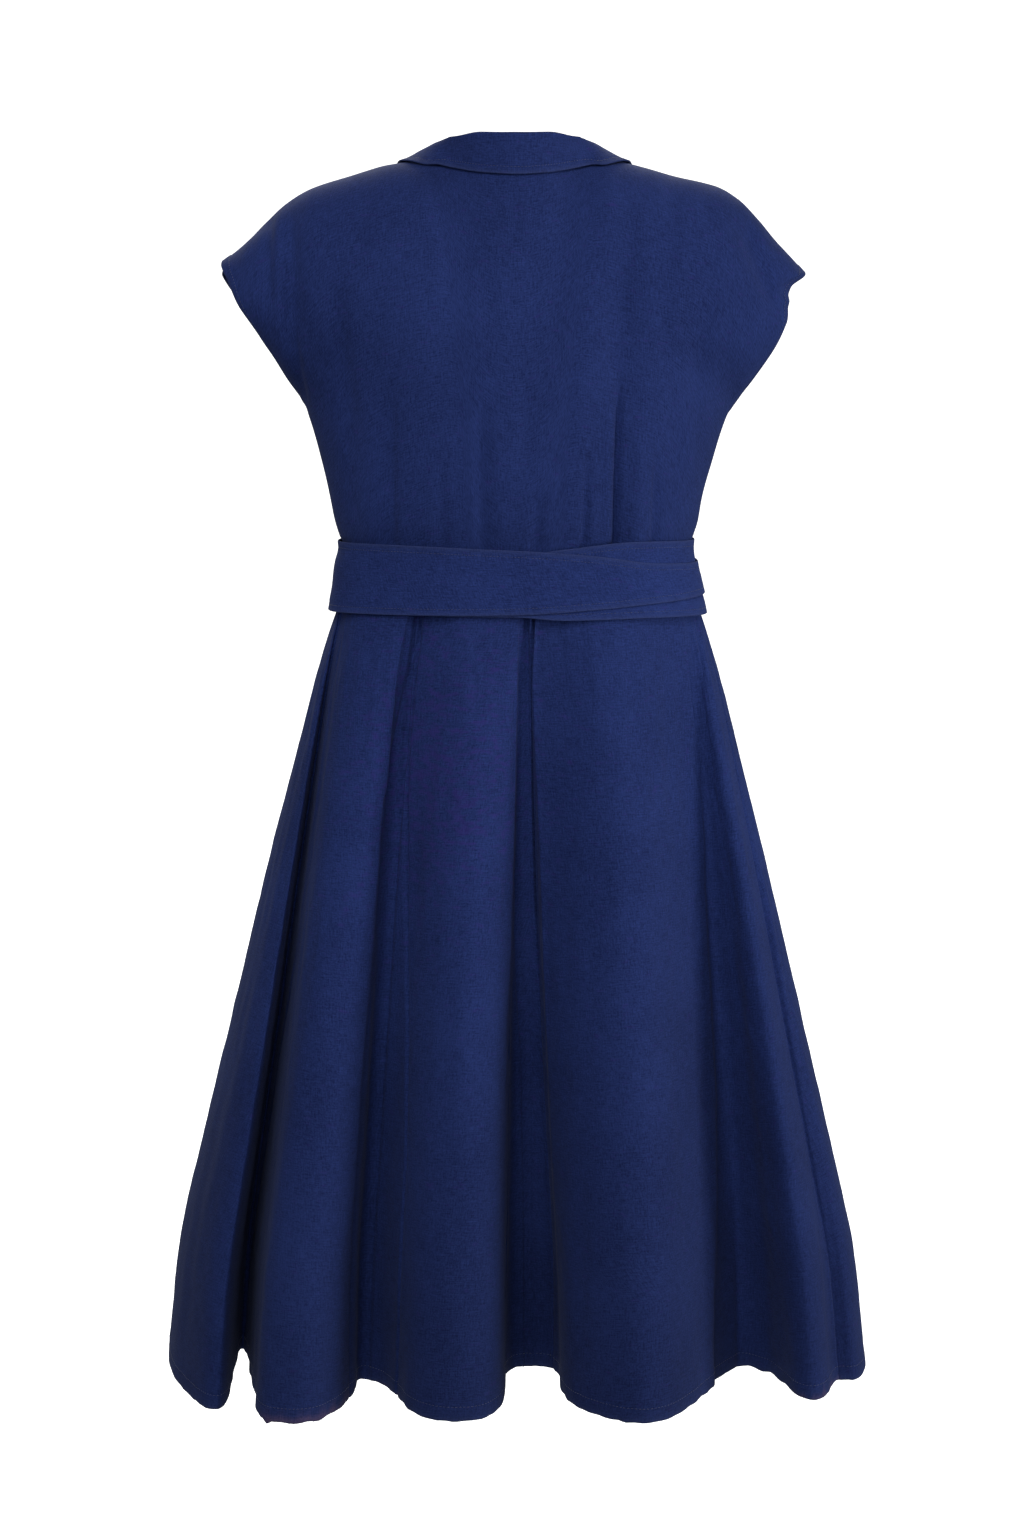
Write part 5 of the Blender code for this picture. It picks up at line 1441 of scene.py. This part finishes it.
# A button and its thread at each place down the front, each turned a little at random.
def buildButtons():
    disc = buttonTemplate()
    threadPoints, threadFaces = crossThread()
    random = np.random.default_rng(5)
    places = [bodiceSurface("front", 0.0, upAtHeight("front", np.array(0.0), np.array(height)))
              for height in bodiceButtons]
    for height in skirtButtons:
        drop = (height - bodice["waistZ"]) / (skirt["hemZ"] - bodice["waistZ"])
        places.append(skirtSurface(foldAt["centreFront"], drop))
    allThread, allFaces = [], []
    for number, (centre, normal) in enumerate(places):
        centre, normal = centre.reshape(3), normal.reshape(3)
        axes = placeFrame(centre, normal, random.normal(0, 0.25))
        origin = centre + normal * button["stand"]
        mesh = disc.copy()
        points = np.zeros(len(mesh.vertices) * 3)
        mesh.vertices.foreach_get("co", points)
        mesh.vertices.foreach_set("co", (points.reshape(-1, 3) @ axes.T + origin).ravel())
        mesh.polygons.foreach_set("use_smooth", np.ones(len(mesh.polygons), bool))
        mesh.set_sharp_from_angle(angle=math.radians(35))
        mesh.update()
        mesh.materials.clear()
        mesh.materials.append(looks["button"])
        piece = bpy.data.objects.new(f"button{number + 1}", mesh)
        bpy.context.scene.collection.objects.link(piece)
        finishPiece(piece, [f"button_{number + 1}"])
        allFaces.append(threadFaces + number * len(threadPoints))
        allThread.append(threadPoints @ axes.T + origin)
    thread = meshObject("buttonThread", np.concatenate(allThread), np.concatenate(allFaces),
                        looks["thread"])
    finishPiece(thread, [])
    return [(centre.reshape(3), normal.reshape(3)) for centre, normal in places]


buttonPlaces = buildButtons()
print("buttons ready")


# A piece of stitches or loose threads along runs: it replaces no node.
def stitchPiece(name, runs, **settings):
    return finishPiece(stitchRun(name, runs, looks["thread"], **settings), [])


# Where a grid of distances crosses one value, as a path with normals: rows if axis is 0.
def gridLine(points, normals, distanceGrid, distance, axis):
    path, sides = [], []
    lines = range(points.shape[1]) if axis == 0 else range(points.shape[0])
    for line in lines:
        values = distanceGrid[:, line] if axis == 0 else distanceGrid[line]
        spots = points[:, line] if axis == 0 else points[line]
        turned = normals[:, line] if axis == 0 else normals[line]
        order = np.argsort(values)
        path.append([np.interp(distance, values[order], spots[order, k]) for k in range(3)])
        sides.append([np.interp(distance, values[order], turned[order, k]) for k in range(3)])
    return np.array(path), np.array(sides)


# Path across the grid at a distance from its first or last row.
def lineFromRow(points, normals, spanDown, distance, fromLast=False):
    grid = spanDown[-1:] - spanDown if fromLast else spanDown
    return gridLine(points, normals, grid, distance, 0)


hems = {"skirtIn": 0.012, "sleeveIn": 0.0095, "frontIn": 0.024, "fromSeam": 3, "sashIn": 0.0050,
        "collarIn": 0.0055, "fromPoint": 6, "belowV": 0.004}
sashTurns = [(innerPoints, innerNormals, innerDown), (outerPoints, outerNormals, outerDown)]
sashRuns = [lineFromRow(*turn, hems["sashIn"], fromLast)
            for turn in sashTurns for fromLast in (False, True)]
pieces["sashStitches"] = stitchPiece("sashStitches", sashRuns)

collarDown = gridSpans(collarOuter)[1]
edgePath, edgeNormals = lineFromRow(collarOuter, collarNormals, collarDown, hems["collarIn"], True)
inner = slice(hems["fromPoint"], -hems["fromPoint"])
pieces["collarStitches"] = stitchPiece("collarStitches", [(edgePath[inner], edgeNormals[inner])])


# The skirt's hem: a line a set way above the edge of each panel.
def skirtHemRuns():
    runs = []
    between = slice(hems["fromSeam"], -hems["fromSeam"])
    for name in skirtPanels:
        points, normals, down, fromEdge = grids[name]
        path, sides = lineFromRow(points, normals, down, hems["skirtIn"], fromLast=True)
        runs.append((path[between], sides[between]))
    return runs


# The sleeves' hems: a line a set way in from the open edge, above the underarm.
def sleeveHemRuns():
    runs = []
    for name in ("bodiceBack", "bodiceFrontLeft", "bodiceFrontRight"):
        points, normals, distance, across = grids[name]
        middle = points.shape[1] // 2
        halves = [slice(0, middle), slice(middle, None)][0 if name == "bodiceBack" else 1:]
        for half in halves:
            rows = np.where(distance[:, half].min(axis=1) < 0.001)[0][2:-4]
            path, sides = gridLine(points[rows][:, half], normals[rows][:, half],
                                   distance[rows][:, half], hems["sleeveIn"], 1)
            runs.append((path, sides))
    return runs


# The front's folded edges: a line a set way in, from the V or the waist to the hem.
def frontEdgeRuns():
    runs = []
    for name in ("bodiceFrontLeft", "bodiceFrontRight", "skirtFrontLeft", "skirtFrontRight"):
        points, normals, other, fromEdge = grids[name]
        path, sides = gridLine(points, normals, fromEdge, hems["frontIn"], 1)
        below = np.where(path[:, 2] < bodice["vNeckZ"] - hems["belowV"])[0]
        runs.append((path[below][1:-2], sides[below][1:-2]))
    return runs


pieces["skirtHemStitches"] = stitchPiece("skirtHemStitches", skirtHemRuns(),
                                         pitch=0.0034, length=0.0025)
pieces["sleeveHemStitches"] = stitchPiece("sleeveHemStitches", sleeveHemRuns())
pieces["frontEdgeStitches"] = stitchPiece("frontEdgeStitches", frontEdgeRuns())

buttonhole = {"half": 0.0095, "apart": 0.00085, "pitch": 0.00055, "length": 0.0016,
              "proud": 0.00015}


# Upright worked slots under the buttons: close stitches across two lines that meet at both ends.
def buttonholeRuns():
    runs = []
    for centre, normal in buttonPlaces:
        axes = placeFrame(centre, normal, 0.0)
        turn = np.linspace(0, 2 * math.pi, 41)
        upward = buttonhole["half"] * np.sign(np.cos(turn)) * np.abs(np.cos(turn)) ** 0.5
        sideways = buttonhole["apart"] * np.sin(turn)
        path = centre + sideways[:, None] * axes[:, 0] + upward[:, None] * axes[:, 1]
        path = path + normal * buttonhole["proud"]
        runs.append((path, np.broadcast_to(normal, path.shape)))
    return runs


pieces["buttonholeStitches"] = stitchPiece("buttonholeStitches", buttonholeRuns(), turned=True,
                                           pitch=buttonhole["pitch"], length=buttonhole["length"])

strands = {"rows": table("low high count", [
    (0.143, 0.220, 90), (-0.288, -0.244, 34), (0.098, 0.120, 14)]),
           "longest": 0.0060, "radius": 0.00013, "levels": 6, "sides": 4, "inside": 0.0009}


# Loose thread ends below the worn hem: each a thin tapering tube that bends as it falls.
def hemStrands():
    random = np.random.default_rng(17)
    allPoints, allFaces, total = [], [], 0
    sides, levels = strands["sides"], strands["levels"]
    turns = np.arange(sides) * 2 * math.pi / sides
    edges = np.concatenate([grids[name][0][-1] - grids[name][1][-1] * strands["inside"]
                            for name in ("skirtBackLeft", "skirtBackRight")])
    for low, high, count in zip(*strands["rows"].values()):
        stretch = edges[(edges[:, 0] > low) & (edges[:, 0] < high) & (edges[:, 1] > 0.05)]
        for spot in stretch[random.integers(0, len(stretch), int(count))]:
            share = np.linspace(0, 1, levels)[:, None]
            bend = random.normal(0, 0.35, 2)
            length = strands["longest"] * (0.25 + 0.75 * random.random() ** 2)
            drift = np.array([bend[0], bend[1] * 0.5, 0]) * length * share ** 1.6
            centre = spot + np.array([random.normal(0, 0.0005), 0, 0.0006]) + drift
            centre[:, 2] -= (length * share)[:, 0]
            ring = np.stack([np.cos(turns), np.sin(turns), 0 * turns], -1) * strands["radius"]
            block = centre[:, None] + ring * (1 - 0.7 * share[:, None])
            allPoints.append(block.reshape(-1, 3))
            allFaces.append(gridFaces(levels, sides, total, True)[:, ::-1])
            allFaces.append(total + np.array([[0, 1, 2, 3]]))
            allFaces.append(total + (levels - 1) * sides + np.array([[3, 2, 1, 0]]))
            total += levels * sides
    return meshObject("hemStrands", np.concatenate(allPoints), np.concatenate(allFaces),
                      looks["thread"])


pieces["hemStrands"] = finishPiece(hemStrands(), [])
print("stitches ready")


# Sheets: the size each was cut to

# Half of a shell's surface, which is the area of its cloth.
def halfArea(piece):
    mesh = piece.data
    areas = np.zeros(len(mesh.polygons))
    mesh.polygons.foreach_get("area", areas)
    return areas.sum() / 2


sheets = {
    # flat width and length, cut area (none: the whole rectangle), how it is held, what it rests on
    "bodiceBack": ((0.56, 0.42), 0.188, "hung", ["bodice_front_left", "bodice_front_right"]),
    "bodiceFrontLeft": ((0.30, 0.42), 0.098, "hung", ["bodice_back"]),
    "bodiceFrontRight": ((0.30, 0.42), 0.099, "hung", ["bodice_back"]),
    "collarCloth": ((0.46, 0.09), 0.037, "folded", ["bodice_back"]),
    "skirtBackLeft": ((0.70, 0.75), 0.310, "hung", ["bodice_back"]),
    "skirtBackRight": ((0.60, 0.75), 0.256, "hung", ["bodice_back"]),
    "skirtFrontLeft": ((0.90, 0.75), 0.414, "hung", ["bodice_front_left"]),
    "skirtFrontRight": ((0.80, 0.75), 0.332, "hung", ["bodice_front_right"]),
    "sashInnerTurn": ((0.88, 0.060), None, "stretched", ["bodice_back"]),
    "sashOuterTurn": ((0.88, 0.060), 0.044, "stretched", ["sash_inner_turn"]),
    "sashTailShort": ((0.044, 0.16), None, "hung", ["sash_knot"]),
    "sashTailLong": ((0.046, 0.21), None, "hung", ["sash_knot"]),
}
for name, (flat, area, held, rests) in sheets.items():
    cut = area or round(flat[0] * flat[1], 4)
    print(name, "measures", round(halfArea(pieces[name]), 4), "cut", cut)


# Floor, light and camera

# A rectangular lamp that faces a point.
def areaLight(name, place, aim, size, power):
    light = bpy.data.lights.new(name, "AREA")
    light.shape = "RECTANGLE"
    light.size, light.size_y = size
    light.energy = power
    lamp = bpy.data.objects.new(name, light)
    lamp.location = place
    lamp.rotation_euler = (Vector(aim) - Vector(place)).to_track_quat("-Z", "Y").to_euler()
    bpy.context.scene.collection.objects.link(lamp)


studio = {"floorZ": -1.50, "floorHalf": 9.0, "bendAtY": -3.0, "bendRadius": 2.0, "wallTop": 8.0,
          "pale": (0.86, 0.86, 0.85, 1), "paleShade": 0.985, "bounce": (0.30, 0.30, 0.30, 1),
          "glow": (0.95, 0.95, 0.95, 1), "rough": 0.9, "air": 0.28, "backdrop": 1.0}
lights = {
    # place, aim, width and height, watts
    "keyLight": ((0.15, 2.7, 2.0), (0, 0, -0.20), (3.2, 1.4), 61),
    "softLight": ((0.60, 3.3, 0.50), (0, 0, -0.30), (1.5, 1.2), 31),
    "fillLight": ((-3.0, 0.9, -0.5), (0, 0, -0.6), (1.0, 1.0), 56),
    "frontLight": ((0.3, -2.9, 1.5), (0, 0, -0.45), (2.2, 1.8), 80),
}


# Light Path's camera ray output of a tree, so the pale surroundings can be seen without glare.
def seenDirectly(tree):
    return addNode(tree, "ShaderNodeLightPath").outputs["Is Camera Ray"]


# A plain pale sheet that curves up behind the dress: flat, then a quarter round, then upright.
def buildFloor():
    bend = np.linspace(0, math.pi / 2, 24)
    radius, bendAt = studio["bendRadius"], studio["bendAtY"]
    profileY = np.concatenate([[studio["floorHalf"]], bendAt - radius * np.sin(bend),
                               [bendAt - radius]])
    profileZ = np.concatenate([[0], radius * (1 - np.cos(bend)), [studio["wallTop"]]])
    profileZ = profileZ + studio["floorZ"]
    x = np.linspace(-studio["floorHalf"], studio["floorHalf"], 3)
    points = np.stack([x + np.zeros((len(profileY), 1)), profileY[:, None] + np.zeros(3),
                       profileZ[:, None] + np.zeros(3)], -1)
    material, tree, shader = newMaterial("paleSweep")
    shader.inputs["Roughness"].default_value = studio["rough"]
    place = addNode(tree, "ShaderNodeTexCoord")
    noise = addNode(tree, "ShaderNodeTexNoise", {"Scale": 3.0, "Detail": 3.0})
    wire(tree, [(place.outputs["Object"], noise.inputs["Vector"])])
    shade = toned(studio["pale"], studio["paleShade"])
    colour = blend(tree, noise.outputs["Fac"], shade, studio["pale"])
    colour = blend(tree, seenDirectly(tree), studio["bounce"], colour)
    glow = maths(tree, "MULTIPLY", seenDirectly(tree), studio["backdrop"])
    shader.inputs["Emission Color"].default_value = studio["glow"]
    wire(tree, [(colour, shader.inputs["Base Color"]), (glow, shader.inputs["Emission Strength"])])
    floor = meshObject("paleFloor", points.reshape(-1, 3), gridFaces(len(profileY), 3, 0, False),
                       material)


buildFloor()
for name, settings in lights.items():
    areaLight(name, *settings)

world = bpy.data.worlds.new("studioAir")
world.use_nodes = True
air = world.node_tree
air.nodes["Background"].inputs["Color"].default_value = (1, 1, 1, 1)
seenAir = maths(air, "MULTIPLY_ADD", seenDirectly(air), 1 - studio["air"])
seenAir.node.inputs[2].default_value = studio["air"]
wire(air, [(seenAir, air.nodes["Background"].inputs["Strength"])])
bpy.context.scene.world = world

view = {"place": (0.0026, 2.6, -0.13), "tiltDeg": 8.99, "focal": 2955.0, "frameHeight": 1536.0,
        "sensor": 36.0}
cameraData = bpy.data.cameras.new("photoCamera")
cameraData.sensor_fit = "VERTICAL"
cameraData.sensor_height = view["sensor"]
cameraData.lens = view["focal"] / view["frameHeight"] * view["sensor"]
cameraData.clip_start = 0.01
camera = bpy.data.objects.new("photoCamera", cameraData)
camera.location = view["place"]
sink = view["place"][1] * math.tan(math.radians(view["tiltDeg"]))
aim = Vector((view["place"][0], 0, view["place"][2] - sink))
camera.rotation_euler = (aim - Vector(view["place"])).to_track_quat("-Z", "Y").to_euler()
bpy.context.scene.collection.objects.link(camera)
bpy.context.scene.camera = camera
bpy.context.scene.view_settings.view_transform = "Standard"
